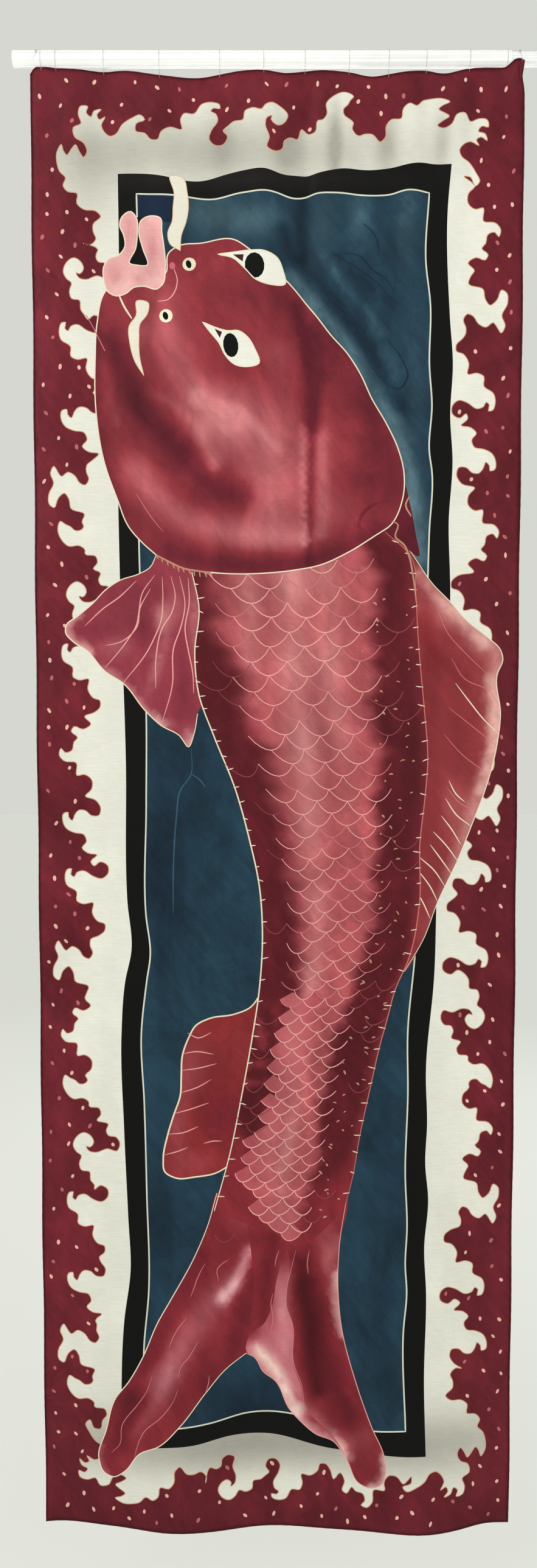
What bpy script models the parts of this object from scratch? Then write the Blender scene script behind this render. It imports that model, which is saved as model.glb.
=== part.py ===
"""Painted silk wall banner lashed to a telescoping clear tube.

Frame: the origin is on the tube's axis, midway across the banner. +X runs to the right along the
tube, +Z is up, and the painted front faces -Y. The silk hangs in the plane Y = 0 below the tube.
"""
from math import acos, cos, pi, radians, sin

import bmesh
import bpy

# ---- driving dimensions, in metres ----
BANNER_WIDTH = 0.900
SILK_TOP = -0.0152            # highest stretch of the top edge, just under the tube
SILK_BOTTOM = -2.757          # side corners of the bottom edge
SILK_THICKNESS = 0.001
FOLD_HEIGHT = -1.386          # the sheet folds here, half-way down
FOLD_GAP = 0.0026             # lets the two halves turn 120 degrees without touching

OUTER_TUBE_DIAMETER = 0.0286
INNER_TUBE_DIAMETER = 0.02485
TUBE_WALL = 0.0016
TUBE_CHAMFER = 0.0003
OUTER_TUBE_LEFT = -0.481
OUTER_TUBE_RIGHT = 0.424
INNER_TUBE_LEFT = 0.148
INNER_TUBE_RIGHT = 0.485
TUBE_SIDES = 48

THREAD_DIAMETER = 0.0008
THREAD_CLEARANCE = 0.0005     # between the thread and the tube
HOLE_RADIUS = 0.001           # needle hole in the hem
HOLE_BELOW_EDGE = 0.004
TURN_STEP = radians(20)       # points along one turn of the lashing

# where the lashing rises in front of the tube, and how high the silk's top edge is there
LASHINGS = (
    (-0.4300, -0.0155),
    (-0.4030, -0.0160),
    (-0.3160, -0.0230),
    (-0.2150, -0.0280),
    (-0.1050, -0.0275),
    (-0.0250, -0.0190),
    (0.0500, -0.0220),
    (0.1300, -0.0235),
    (0.2020, -0.0268),
    (0.2700, -0.0205),
    (0.3490, -0.0165),
    (0.4170, -0.0155),
)
# low points of the top edge between two lashings
SAGS = (
    (-0.3650, -0.0175),
    (-0.2800, -0.0205),
    (-0.1350, -0.0330),
    (-0.0700, -0.0210),
    (0.0150, -0.0245),
    (0.0750, -0.0195),
    (0.1750, -0.0310),
    (0.2350, -0.0215),
    (0.3000, -0.0255),
)
# the bottom edge from right to left, between its two corners
BOTTOM_EDGE = (
    (0.4050, -2.7560),
    (0.3500, -2.7640),
    (0.2100, -2.7710),
    (0.0300, -2.7640),
    (-0.1300, -2.7650),
    (-0.2200, -2.7710),
    (-0.3200, -2.7600),
    (-0.4050, -2.7560),
)

outer_radius = OUTER_TUBE_DIAMETER / 2
inner_radius = INNER_TUBE_DIAMETER / 2
thread_radius = THREAD_DIAMETER / 2
turn_radius = outer_radius + THREAD_CLEARANCE + thread_radius
half_width = BANNER_WIDTH / 2

for scene_object in list(bpy.data.objects):
    bpy.data.objects.remove(scene_object, do_unlink=True)

parts = bpy.data.collections.new("silk_banner")
bpy.context.scene.collection.children.link(parts)


def material(name, colour, roughness, metallic=0.0, alpha=1.0):
    """A plain Principled material."""
    made = bpy.data.materials.new(name)
    made.use_nodes = True
    shader = made.node_tree.nodes["Principled BSDF"]
    shader.inputs["Base Color"].default_value = (*colour, 1.0)
    shader.inputs["Roughness"].default_value = roughness
    shader.inputs["Metallic"].default_value = metallic
    shader.inputs["Alpha"].default_value = alpha
    return made


clear_acrylic = material("clear_acrylic", (0.93, 0.95, 0.95), 0.08, alpha=0.35)
clear_acrylic_inner = material("clear_acrylic_inner", (0.90, 0.93, 0.94), 0.10, alpha=0.35)
painted_silk = material("painted_silk", (0.26, 0.03, 0.05), 0.62)
gathered_silk = material("gathered_silk", (0.22, 0.02, 0.04), 0.65)
pale_thread = material("pale_thread", (0.78, 0.76, 0.72), 0.70)


def add_object(name, data, finish):
    """Wraps mesh or curve data in an object of the part's collection."""
    made = bpy.data.objects.new(name, data)
    parts.objects.link(made)
    data.materials.append(finish)
    return made


# ---- tubes ----
def tube(name, diameter, left, right, finish):
    """A cut length of round tube along X: a turned ring profile with chamfered rims."""
    outside = diameter / 2
    inside = outside - TUBE_WALL
    half = (right - left) / 2
    chamfer = TUBE_CHAMFER
    profile = (
        (outside - chamfer, half),
        (outside, half - chamfer),
        (outside, -half + chamfer),
        (outside - chamfer, -half),
        (inside + chamfer, -half),
        (inside, -half + chamfer),
        (inside, half - chamfer),
        (inside + chamfer, half),
    )
    mesh = bpy.data.meshes.new(name)
    shape = bmesh.new()
    ring = [shape.verts.new((radius, 0.0, height)) for radius, height in profile]
    for first, second in zip(ring, ring[1:] + ring[:1]):
        shape.edges.new((first, second))
    shape.to_mesh(mesh)
    shape.free()
    made = add_object(name, mesh, finish)
    turn = made.modifiers.new("turn", "SCREW")
    turn.axis = "Z"
    turn.angle = 2 * pi
    turn.screw_offset = 0.0
    turn.steps = TUBE_SIDES
    turn.render_steps = TUBE_SIDES
    turn.use_merge_vertices = True
    turn.merge_threshold = 0.00001
    turn.use_smooth_shade = True
    made.location = ((left + right) / 2, 0.0, 0.0)
    made.rotation_euler = (0.0, pi / 2, 0.0)
    return made


# ---- silk ----
def outline(curve, points, rounded):
    """Adds a closed outline to a flat curve. rounded says which points are smooth."""
    spline = curve.splines.new("BEZIER")
    spline.bezier_points.add(len(points) - 1)
    for knot, (across, height), smooth in zip(spline.bezier_points, points, rounded):
        knot.co = (across, height, 0.0)
        kind = "AUTO" if smooth else "VECTOR"
        knot.handle_left_type = kind
        knot.handle_right_type = kind
    spline.use_cyclic_u = True
    spline.resolution_u = 5


def round_hole(curve, across, height, radius):
    """Adds a round hole, twelve-sided, to a flat curve: it runs the other way round."""
    spline = curve.splines.new("POLY")
    spline.points.add(11)
    for number, point in enumerate(spline.points):
        angle = -2 * pi * number / 12
        point.co = (across + radius * cos(angle), height + radius * sin(angle), 0.0, 1.0)
    spline.use_cyclic_u = True


def flat_sheet(name, finish):
    """An object with an empty flat curve, in the plane Y = 0 and as thick as the silk solid."""
    curve = bpy.data.curves.new(name, "CURVE")
    curve.dimensions = "2D"
    curve.fill_mode = "BOTH"
    curve.extrude = SILK_THICKNESS / 2
    made = add_object(name, curve, finish)
    made.rotation_euler = (pi / 2, 0.0, 0.0)
    return made


def as_mesh(flat, name, finish):
    """Turns a filled curve into a welded mesh with its faces pointing out."""
    bpy.context.view_layer.update()
    evaluated = flat.evaluated_get(bpy.context.evaluated_depsgraph_get())
    mesh = bpy.data.meshes.new_from_object(evaluated)
    shape = bmesh.new()
    shape.from_mesh(mesh)
    bmesh.ops.remove_doubles(shape, verts=shape.verts, dist=0.00001)
    bmesh.ops.recalc_face_normals(shape, faces=shape.faces)
    shape.to_mesh(mesh)
    shape.free()
    mesh.materials.clear()
    place = flat.matrix_world.copy()
    bpy.data.objects.remove(flat, do_unlink=True)
    made = add_object(name, mesh, finish)
    made.matrix_world = place


def silk_upper():
    """The upper half of the sheet: a scalloped top edge with a needle hole at each lashing."""
    flat = flat_sheet("silk_upper_outline", painted_silk)
    curve = flat.data
    bottom = FOLD_HEIGHT + FOLD_GAP / 2
    edge = sorted(LASHINGS[1:] + SAGS)
    corners = [(-half_width, bottom), (half_width, bottom), (half_width, SILK_TOP)]
    points = corners + edge[::-1] + [(-half_width + 0.008, SILK_TOP), (-half_width, SILK_TOP - 0.012)]
    rounded = [False] * 3 + [True] * len(edge) + [False] * 2
    outline(curve, points, rounded)
    for across, height in LASHINGS:
        round_hole(curve, across, height - HOLE_BELOW_EDGE, HOLE_RADIUS)
    as_mesh(flat, "silk_upper", painted_silk)


def silk_lower():
    """The lower half of the sheet, with a softly waved bottom edge."""
    curve = flat_sheet("silk_lower", painted_silk).data
    top = FOLD_HEIGHT - FOLD_GAP / 2
    points = [(-half_width, top), (half_width, top), (half_width, SILK_BOTTOM)]
    points += [*BOTTOM_EDGE, (-half_width, SILK_BOTTOM)]
    rounded = [False] * 3 + [True] * len(BOTTOM_EDGE) + [False]
    outline(curve, points, rounded)


def silk_corner():
    """The top right corner of the sheet, gathered and pulled up in front of the tube."""
    # each section: height, left, right, back, front
    sections = (
        (-0.0760, 0.4100, 0.4495, -0.0012, -0.0030),
        (-0.0450, 0.4140, 0.4497, -0.0016, -0.0085),
        (-0.0250, 0.4200, 0.4498, -0.0060, -0.0150),
        (-0.0120, 0.4265, 0.4497, -0.0125, -0.0195),
        (-0.0020, 0.4290, 0.4495, -0.0148, -0.0208),
        (0.0040, 0.4320, 0.4490, -0.0150, -0.0200),
    )
    mesh = bpy.data.meshes.new("silk_corner")
    shape = bmesh.new()
    rings = []
    for height, left, right, back, front in sections:
        corners = ((left, front), (right, front), (right, back), (left, back))
        rings.append([shape.verts.new((x, y, height)) for x, y in corners])
    for lower, upper in zip(rings, rings[1:]):
        for side in range(4):
            after = (side + 1) % 4
            shape.faces.new((lower[side], lower[after], upper[after], upper[side]))
    shape.faces.new(rings[0][::-1])
    shape.faces.new(rings[-1])
    shape.to_mesh(mesh)
    shape.free()
    made = add_object("silk_corner", mesh, gathered_silk)
    soft = made.modifiers.new("soft", "SUBSURF")
    soft.levels = 2
    soft.render_levels = 2
    mesh.shade_smooth()


# ---- thread ----
def thread_curve(name, points, radii=None):
    """A thin round tube along the points, with closed ends."""
    curve = bpy.data.curves.new(name, "CURVE")
    curve.dimensions = "3D"
    curve.bevel_depth = thread_radius
    curve.bevel_resolution = 2
    curve.use_fill_caps = True
    spline = curve.splines.new("POLY")
    spline.points.add(len(points) - 1)
    for number, (point, place) in enumerate(zip(spline.points, points)):
        point.co = (*place, 1.0)
        point.radius = radii[number] if radii else 1.0
    add_object(name, curve, pale_thread)


def around(across, angle, radius):
    """A point beside the tube. The angle runs from its top towards its front."""
    return (across, -radius * sin(angle), radius * cos(angle))


def leaves_tube(hole_height):
    """The angle at which a thread from the hole below meets the turn's circle."""
    return pi - acos(turn_radius / -hole_height)


def arc(start, end):
    """Evenly spaced angles from start to end, about one TURN_STEP apart."""
    count = max(2, round(abs(end - start) / TURN_STEP))
    return [start + (end - start) * number / count for number in range(count + 1)]


def lashing_thread():
    """One thread: down behind the tube, through the hem from back to front, up the front, and on."""
    through = SILK_THICKNESS + THREAD_DIAMETER
    points = []
    behind_from = LASHINGS[0][0] - 0.0045
    start_angle = radians(44)
    for number, (across, edge_height) in enumerate(LASHINGS):
        hole = edge_height - HOLE_BELOW_EDGE
        meets = leaves_tube(hole)
        behind = arc(start_angle, -meets)
        for step, angle in enumerate(behind):
            share = step / (len(behind) - 1)
            points.append(around(behind_from + (across - behind_from) * share, angle, turn_radius))
        points.append((across, through, hole))
        points.append((across, -through, hole))
        points += [around(across, angle, turn_radius) for angle in arc(meets, radians(20))]
        behind_from = across
        start_angle = 0.0
    # from the last turn the thread steps down to the thinner tube and ends beside the right knot
    points += [
        around(0.4195, radians(4), turn_radius),
        around(0.4235, radians(-4), turn_radius),
        around(0.4275, radians(-2), turn_radius - 0.0008),
        around(0.4310, radians(8), inner_radius + 0.0014),
        around(0.4340, radians(22), inner_radius + 0.0013),
    ]
    thread_curve("lashing_thread", points)


KNOT_BEAD = (-0.0016, 1.2), (-0.0009, 2.8), (0.0, 3.4), (0.0009, 2.8), (0.0016, 1.2)


def knot(name, across, angle, radius, first_tail, last_tail):
    """A small bead of thread with two cut ends. Each tail is a list of (across, angle, radius)."""
    points = [around(*place) for place in first_tail]
    radii = [1.0] * len(points)
    for along, size in KNOT_BEAD:
        points.append(around(across, angle + along / radius, radius))
        radii.append(size)
    points += [around(*place) for place in last_tail]
    radii += [1.0] * len(last_tail)
    thread_curve(name, points, radii)


def left_knot():
    """Ties the start of the lashing to the tube, near the sheet's left corner."""
    near = turn_radius + 0.0002
    knot(
        "left_knot", -0.4365, radians(64), outer_radius + 0.0019,
        [(-0.4420, radians(26), near), (-0.4395, radians(42), near)],
        [(-0.4375, radians(84), near), (-0.4395, radians(100), near)],
    )


def right_knot():
    """Ties the end of the lashing over the gathered corner."""
    near = inner_radius + 0.0010
    knot(
        "right_knot", 0.4385, radians(48), inner_radius + 0.0019,
        [(0.4425, radians(14), near), (0.4405, radians(30), near)],
        [(0.4395, radians(62), near + 0.0006), (0.4405, radians(68), near + 0.0010)],
    )


tube("outer_tube", OUTER_TUBE_DIAMETER, OUTER_TUBE_LEFT, OUTER_TUBE_RIGHT, clear_acrylic)
tube("inner_tube", INNER_TUBE_DIAMETER, INNER_TUBE_LEFT, INNER_TUBE_RIGHT, clear_acrylic_inner)
silk_upper()
silk_lower()
silk_corner()
lashing_thread()
left_knot()
right_knot()
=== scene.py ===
"""Looks of the painted silk banner: dyed silk, rolled hems, lashing thread and clear tubes.

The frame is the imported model's: the origin is on the tube's axis, midway across the banner, +X
runs to the right, +Z is up, and the painted front faces -Y.
"""
from math import acos, ceil, cos, hypot, pi, radians, sin
import random

import bmesh
import bpy
import numpy as np
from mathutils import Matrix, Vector
from mathutils.geometry import delaunay_2d_cdt


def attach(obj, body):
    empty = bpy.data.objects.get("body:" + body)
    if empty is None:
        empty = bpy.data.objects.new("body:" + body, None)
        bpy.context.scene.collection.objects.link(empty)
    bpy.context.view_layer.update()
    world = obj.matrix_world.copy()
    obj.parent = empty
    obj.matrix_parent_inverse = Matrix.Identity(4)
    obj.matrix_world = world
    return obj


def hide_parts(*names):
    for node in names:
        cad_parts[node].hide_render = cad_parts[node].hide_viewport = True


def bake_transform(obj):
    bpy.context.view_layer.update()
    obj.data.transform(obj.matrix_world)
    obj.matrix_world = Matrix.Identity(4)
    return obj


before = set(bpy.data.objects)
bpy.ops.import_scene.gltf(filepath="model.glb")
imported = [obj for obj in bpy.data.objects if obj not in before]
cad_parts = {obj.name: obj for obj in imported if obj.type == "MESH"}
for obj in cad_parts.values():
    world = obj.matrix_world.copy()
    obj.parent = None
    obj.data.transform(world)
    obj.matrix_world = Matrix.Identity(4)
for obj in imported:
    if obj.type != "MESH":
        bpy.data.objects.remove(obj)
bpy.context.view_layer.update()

# ---- driving dimensions, in metres ----
HALF_WIDTH = 0.45             # of the sheet
SILK_TOP = -0.0152            # highest stretch of the top edge, just under the tube
SILK_BOTTOM = -2.757
CUT_LENGTH = 2.742            # the sheet's flat length
SILK_THICKNESS = 0.00035
WEAVE_CELL = 0.01             # between the sheet's inner points
WEAVE_STRAY = 0.002           # how far one of them strays at most
CURVE_STEP = 0.006            # between points along a painted outline or a hem
HEM_WIDTH = 0.003
HEM_DEPTH = 0.0011            # half its size, front to back
HEM_INSET = 0.001             # of its middle from the sheet's edge
OUTER_RADIUS = 0.0143
OUTER_ENDS = (-0.481, 0.424)  # where the outer tube begins and ends
INNER_RADIUS = 0.012425
INNER_ENDS = (0.148, 0.485)
TUBE_WALL = 0.0016
TUBE_RIM = 0.0004             # rounding of the tubes' cut ends
THREAD_RADIUS = 0.00035
TURN_RADIUS = 0.0152          # of the lashing round the tube
HOLE_BELOW_EDGE = 0.004
START_KNOT = -0.4365          # where the two knots stand along the tube
END_KNOT = 0.4385
FLOOR_HEIGHT = -2.95

# ---- what repeats in the painting: metres, shares of a length, and counts ----
MOTIF_GAP = 0.008             # between two crests of foam
MOTIF_SPARE = 0.04            # a run of crests is full when less than this is left of it
DROPLET_TRIES = 9000          # places thrown at random, of which few stay
DROPLET_SIDE = 0.435          # furthest out on either side
DROPLET_HEIGHTS = (-2.742, -0.034)
DROPLET_BAND = 0.15           # furthest in from the sheet's edges
DROPLET_CLEAR = 0.009         # from the foam
DROPLET_GAP = 0.029           # between two of them at the sheet's edge
DROPLET_SPREAD = 0.06         # how much that gap grows with the distance from the edge
SCALE_SHARE = 0.165           # one scale as a share of the body's width
SCALE_COLUMNS = 6
ROW_SHARE = 0.4               # from row to row, as a share of a scale's width
SCALES_TOP = -0.9
SCALES_BOTTOM = -2.21
FLECKS = 80
# where the pale scales begin and end, as shares of the body's width, at depths down the sheet
BELLY_DEPTHS = (0.93, 1.1, 1.5, 1.72, 1.8, 1.9, 2.02, 2.09, 2.14, 2.19)
BELLY_FIRST = (0.08, 0.18, 0.2, 0.21, 0.22, 0.19, 0.17, 0.17, 0.32, 0.46)
BELLY_LAST = (0.78, 0.82, 0.78, 0.74, 0.69, 0.66, 0.73, 0.68, 0.72, 0.72)
FILLED_DEPTHS = (1.73, 2.2)   # where scales at the left of the belly are filled

# where the lashing rises in front of the tube, and how high the silk's top edge is there
LASHINGS = (
    (-0.43, -0.0155), (-0.403, -0.016), (-0.316, -0.023), (-0.215, -0.028),
    (-0.105, -0.0275), (-0.025, -0.019), (0.05, -0.022), (0.13, -0.0235),
    (0.202, -0.0268), (0.27, -0.0205), (0.349, -0.0165), (0.417, -0.0155),
)
# low points of the top edge between two lashings
SAGS = (
    (-0.365, -0.0175), (-0.28, -0.0205), (-0.135, -0.033), (-0.07, -0.021),
    (0.015, -0.0245), (0.075, -0.0195), (0.175, -0.031), (0.235, -0.0215), (0.3, -0.0255),
)
# the ends of the top edge: it drops at the left
TOP_ENDS = ((-0.45, -0.0272), (-0.442, -0.0152), (0.45, -0.0155))
BOTTOM_EDGE = (
    (-0.45, -2.757), (-0.405, -2.756), (-0.32, -2.76), (-0.22, -2.771), (-0.13, -2.765),
    (0.03, -2.764), (0.21, -2.771), (0.35, -2.764), (0.405, -2.756), (0.45, -2.757),
)

# ---- dyes and the foam's painted shade, as sRGB from 0 to 255 ----
MAROON = (100, 27, 38)
MAROON_LIGHT = (134, 45, 58)
MAROON_DARK = (84, 18, 29)
CREAM = (222, 220, 209)
# the foam's darkest tone: painted shade in its folds and across its top, and darker near the bottom
CREAM_PAINTED_SHADE = (160, 157, 147)
BLACK = (6, 5, 4)
TEAL = (30, 56, 72)
TEAL_LIGHT = (92, 120, 130)
TEAL_DARK = (13, 28, 42)
CRIMSON = (136, 46, 55)
CRIMSON_DARK = (92, 24, 38)
ROSE = (206, 124, 128)
FLESH = (226, 168, 166)
FLESH_DARK = (190, 110, 116)
FIN = (138, 50, 55)
FIN_LIGHT = (216, 162, 154)
FIN_DARK = (112, 28, 46)
TAIL = (128, 38, 47)             # where the body runs out into the tail
BACKDROP = (213, 215, 208)       # floor and surroundings

# =====================================================================================
# Drawing helpers
# =====================================================================================


def chord_tangent(before, here, after):
    """Direction of a smooth curve at a point, from its two neighbours."""
    first = np.linalg.norm(here - before)
    second = np.linalg.norm(after - here)
    if first < 1e-9:
        return (after - here) / max(second, 1e-9)
    if second < 1e-9:
        return (here - before) / first
    return ((after - here) / second * first + (here - before) / first * second) / (first + second)


def smooth(points, closed=False, step=CURVE_STEP):
    """A smooth curve through the points. A point given twice running is a corner."""
    given = [np.array(point, float) for point in points]
    count = len(given)
    result = []
    for number in range(count if closed else count - 1):
        start = given[number]
        end = given[(number + 1) % count]
        length = np.linalg.norm(end - start)
        if length < 1e-9:
            continue
        before = given[number - 1] if closed or number > 0 else start
        after = given[(number + 2) % count] if closed or number + 2 < count else end
        leave = chord_tangent(before, start, end) * length
        arrive = chord_tangent(start, end, after) * length
        parts = max(1, ceil(length / step))
        for part in range(parts):
            t = part / parts
            result.append(
                start * (2 * t**3 - 3 * t**2 + 1) + leave * (t**3 - 2 * t**2 + t)
                + end * (3 * t**2 - 2 * t**3) + arrive * (t**3 - t**2)
            )
    if not closed:
        result.append(given[-1])
    return np.array(result)


def normals(curve, closed):
    """Unit normals to the left of a drawn curve."""
    if closed:
        along = np.roll(curve, -1, axis=0) - np.roll(curve, 1, axis=0)
    else:
        along = np.gradient(curve, axis=0)
    along = along / np.maximum(np.linalg.norm(along, axis=1, keepdims=True), 1e-9)
    return np.column_stack((-along[:, 1], along[:, 0]))


def inside(loops, x, z):
    """Which of the points, sorted by z, lie inside the loops by the even-odd rule."""
    hit = np.zeros(len(x), bool)
    for loop in loops:
        for (x1, z1), (x2, z2) in zip(loop, np.roll(loop, -1, axis=0)):
            if z1 == z2:
                continue
            low, high = np.searchsorted(z, (min(z1, z2), max(z1, z2)))
            level = x1 + (z[low:high] - z1) * (x2 - x1) / (z2 - z1)
            hit[low:high] ^= x[low:high] < level
    return hit


def linear(colour):
    """sRGB from 0 to 255 to linear light."""
    share = np.clip(np.asarray(colour, float), 0, 255) / 255
    return np.where(share <= 0.04045, share / 12.92, ((share + 0.055) / 1.055) ** 2.4)


def reach_of(points, x, z):
    """How far each place is from a drawn path."""
    nearest = np.full(len(x), 9.0)
    for (from_x, from_z), (to_x, to_z) in zip(points, points[1:]):
        run_x, run_z = to_x - from_x, to_z - from_z
        share = np.clip(((x - from_x) * run_x + (z - from_z) * run_z) / (run_x**2 + run_z**2), 0, 1)
        nearest = np.minimum(nearest, np.hypot(x - from_x - share * run_x, z - from_z - share * run_z))
    return nearest


def wash(base, light, dark, spots=(), strokes=()):
    """A dye that turns lighter or darker in soft spots and brush strokes. Some spots and strokes are painted
    shade and painted highlights of the cloth's folds.

    A spot is x, z, reach x, reach z, strength and maybe a slant. A stroke is reach, strength, path.
    """

    def dye(x, z):
        tone = np.zeros(len(x))
        for across, height, reach_x, reach_z, strength, *slant in spots:
            aside = x - across - (slant[0] if slant else 0.0) * (z - height)
            tone += strength * np.exp(-(aside / reach_x) ** 2 - ((z - height) / reach_z) ** 2)
        for reach, strength, path in strokes:
            tone += strength * np.exp(-(reach_of(path, x, z) / reach) ** 2)
        up = np.clip(tone, 0, 1)[:, None]
        down = np.clip(-tone, 0, 1)[:, None]
        middle = np.array(base, float)
        return middle + up * (np.array(light) - middle) + down * (np.array(dark) - middle)

    return dye


def plain(colour):
    """A dye of one colour."""
    return wash(colour, colour, colour)


# the shapes painted so far, later ones over earlier ones: loops, dye, how much it mottles, and
# whether the mesh follows the shape's edge
painted = []


def fill(outline, dye, mottle=0.5, edged=True):
    """Fills a closed outline. One that lines cover later needs no edge of its own."""
    painted.append(([np.asarray(outline)], dye, mottle, edged))


def line(curve, width, dye, closed=False, taper=1.0, mottle=0.1):
    """A painted line of a width. taper is the share of it left at the two ends."""
    curve = np.asarray(curve)
    side = normals(curve, closed)
    place = np.linspace(0, 1, len(curve))
    share = 1.0 if closed else taper + (1 - taper) * np.sin(pi * place) ** 0.6
    half = (width / 2 * share * np.ones(len(curve)))[:, None]
    left = curve + side * half
    right = curve - side * half
    loops = [left, right] if closed else [np.vstack((left, right[::-1]))]
    painted.append((loops, dye, mottle, True))


def draw(paths, width, dye, taper=1.0, mottle=0.1, step=CURVE_STEP):
    """Painted lines, each smooth through a few points."""
    for path in paths:
        line(smooth(path, step=step), width, dye, taper=taper, mottle=mottle)


def oval(across, height, radius_x, radius_z, turned=0.0, corners=14):
    """An oval outline, turned by an angle."""
    points = []
    for number in range(corners):
        angle = 2 * pi * number / corners
        x, z = radius_x * cos(angle), radius_z * sin(angle)
        points.append((
            across + x * cos(turned) - z * sin(turned), height + x * sin(turned) + z * cos(turned),
        ))
    return np.array(points)


def add_object(name, data):
    """A new object in the scene."""
    made = bpy.data.objects.new(name, data)
    bpy.context.scene.collection.objects.link(made)
    return made


chance = random.Random(7)

# =====================================================================================
# The wave border: each motif is (distance along the edge, distance in from the edge)
# =====================================================================================
CURL = (
    (0.0, 0.123), (0.013, 0.119), (0.022, 0.123), (0.025, 0.137), (0.037, 0.144), (0.052, 0.139),
    (0.048, 0.121), (0.055, 0.1), (0.052, 0.087), (0.043, 0.082), (0.045, 0.089), (0.036, 0.096),
    (0.023, 0.091), (0.016, 0.078), (0.025, 0.064), (0.042, 0.058), (0.055, 0.065), (0.061, 0.073),
    (0.077, 0.069), (0.09, 0.073), (0.093, 0.088), (0.11, 0.09), (0.12, 0.097),
)
HOOK = (
    (0.0, 0.105), (-0.008, 0.117), (0.0, 0.132), (0.014, 0.132), (0.024, 0.12), (0.02, 0.104),
    (0.009, 0.084), (0.013, 0.072), (0.021, 0.067), (0.016, 0.061), (0.005, 0.063), (0.006, 0.055),
    (0.018, 0.05), (0.036, 0.053), (0.05, 0.072), (0.067, 0.072), (0.073, 0.084), (0.071, 0.103),
    (0.09, 0.101), (0.107, 0.112), (0.112, 0.125), (0.124, 0.125), (0.134, 0.114),
)
SPUR = (
    (0.0, 0.115), (0.016, 0.125), (0.029, 0.121), (0.029, 0.106), (0.02, 0.095), (0.019, 0.081),
    (0.028, 0.073), (0.039, 0.068), (0.032, 0.061), (0.023, 0.06), (0.025, 0.051), (0.04, 0.049),
    (0.054, 0.056), (0.062, 0.072), (0.066, 0.091), (0.079, 0.096), (0.091, 0.087), (0.101, 0.098),
    (0.105, 0.117), (0.118, 0.104),
)
FORK = (
    (0.0, 0.102), (0.012, 0.101), (0.026, 0.106), (0.037, 0.098), (0.033, 0.088), (0.02, 0.079),
    (0.013, 0.065), (0.021, 0.052), (0.012, 0.045), (0.002, 0.038), (0.014, 0.031), (0.033, 0.037),
    (0.055, 0.027), (0.074, 0.029), (0.079, 0.037), (0.061, 0.046), (0.052, 0.058), (0.064, 0.067),
    (0.08, 0.07), (0.092, 0.097), (0.106, 0.092),
)
PERCH = (
    (0.0, 0.09), (0.006, 0.086), (0.008, 0.075), (0.0, 0.065), (-0.004, 0.056), (-0.01, 0.047),
    (0.004, 0.042), (0.022, 0.047), (0.037, 0.062), (0.036, 0.082), (0.044, 0.092), (0.051, 0.092),
    (0.056, 0.112), (0.067, 0.115), (0.079, 0.107),
)
LOBES = (
    (0.0, 0.089), (0.014, 0.101), (0.024, 0.086), (0.019, 0.069), (0.028, 0.064), (0.04, 0.076),
    (0.048, 0.069), (0.064, 0.065), (0.068, 0.052), (0.06, 0.045), (0.072, 0.041), (0.084, 0.05),
    (0.088, 0.073), (0.112, 0.074), (0.11, 0.088), (0.121, 0.102), (0.138, 0.101), (0.151, 0.089),
)
MOTIFS = (CURL, HOOK, SPUR, FORK, PERCH, CURL, HOOK, LOBES, SPUR, HOOK, FORK, LOBES, PERCH)
# the claws of foam at a corner: (distance back along the edge before it, distance in from that edge)
CORNER = (
    (0.191, 0.109), (0.192, 0.096), (0.208, 0.088), (0.201, 0.08), (0.183, 0.087), (0.165, 0.1),
    (0.156, 0.114), (0.145, 0.118), (0.134, 0.11), (0.128, 0.096), (0.135, 0.081), (0.124, 0.086),
    (0.12, 0.078), (0.128, 0.067), (0.115, 0.071), (0.109, 0.083), (0.101, 0.077), (0.104, 0.065),
    (0.091, 0.067), (0.087, 0.082), (0.092, 0.098), (0.078, 0.107), (0.081, 0.124), (0.096, 0.132),
    (0.102, 0.148), (0.096, 0.158), (0.088, 0.148), (0.082, 0.137), (0.073, 0.147), (0.066, 0.156),
    (0.059, 0.147), (0.056, 0.136), (0.047, 0.15), (0.047, 0.168), (0.052, 0.184), (0.063, 0.196),
    (0.058, 0.209), (0.066, 0.22), (0.084, 0.224), (0.083, 0.241), (0.095, 0.251), (0.117, 0.253),
    (0.126, 0.262), (0.112, 0.277), (0.112, 0.29), (0.117, 0.303), (0.106, 0.314), (0.094, 0.312),
)
CORNER_BEFORE = 0.2         # how much of the edge before it a corner takes
CORNER_AFTER = 0.322          # and of the edge after it


def wave_outline():
    """The edge of the foam, anticlockwise from the top left: four corners and four runs of motifs."""
    sides = (
        ((-HALF_WIDTH, SILK_TOP), (0, -1), (1, 0), CUT_LENGTH),
        ((-HALF_WIDTH, SILK_BOTTOM), (1, 0), (0, 1), 2 * HALF_WIDTH),
        ((HALF_WIDTH, SILK_BOTTOM), (0, 1), (-1, 0), CUT_LENGTH),
        ((HALF_WIDTH, SILK_TOP), (-1, 0), (0, -1), 2 * HALF_WIDTH),
    )
    points = []
    turn = 0
    for number, (corner, along, inward, length) in enumerate(sides):
        corner = np.array(corner)
        along = np.array(along)
        inward = np.array(inward)
        before = np.array(sides[number - 1][1])
        back = np.array(sides[number - 1][2])
        for back_along, depth in CORNER:
            points.append(corner - before * back_along + back * depth)
        room = length - CORNER_AFTER - CORNER_BEFORE
        chosen = []
        while sum(motif[-1][0] + MOTIF_GAP for motif in chosen) < room - MOTIF_SPARE:
            chosen.append(MOTIFS[turn % len(MOTIFS)])
            turn += 1
        stretch = room / sum(motif[-1][0] + MOTIF_GAP for motif in chosen)
        reached = CORNER_AFTER
        for motif in chosen:
            deeper = chance.uniform(0.94, 1.06)
            for step, depth in motif:
                points.append(corner + along * (reached + step * stretch) + inward * depth * deeper)
            reached += (motif[-1][0] + MOTIF_GAP) * stretch
    return smooth(points, closed=True)


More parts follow.
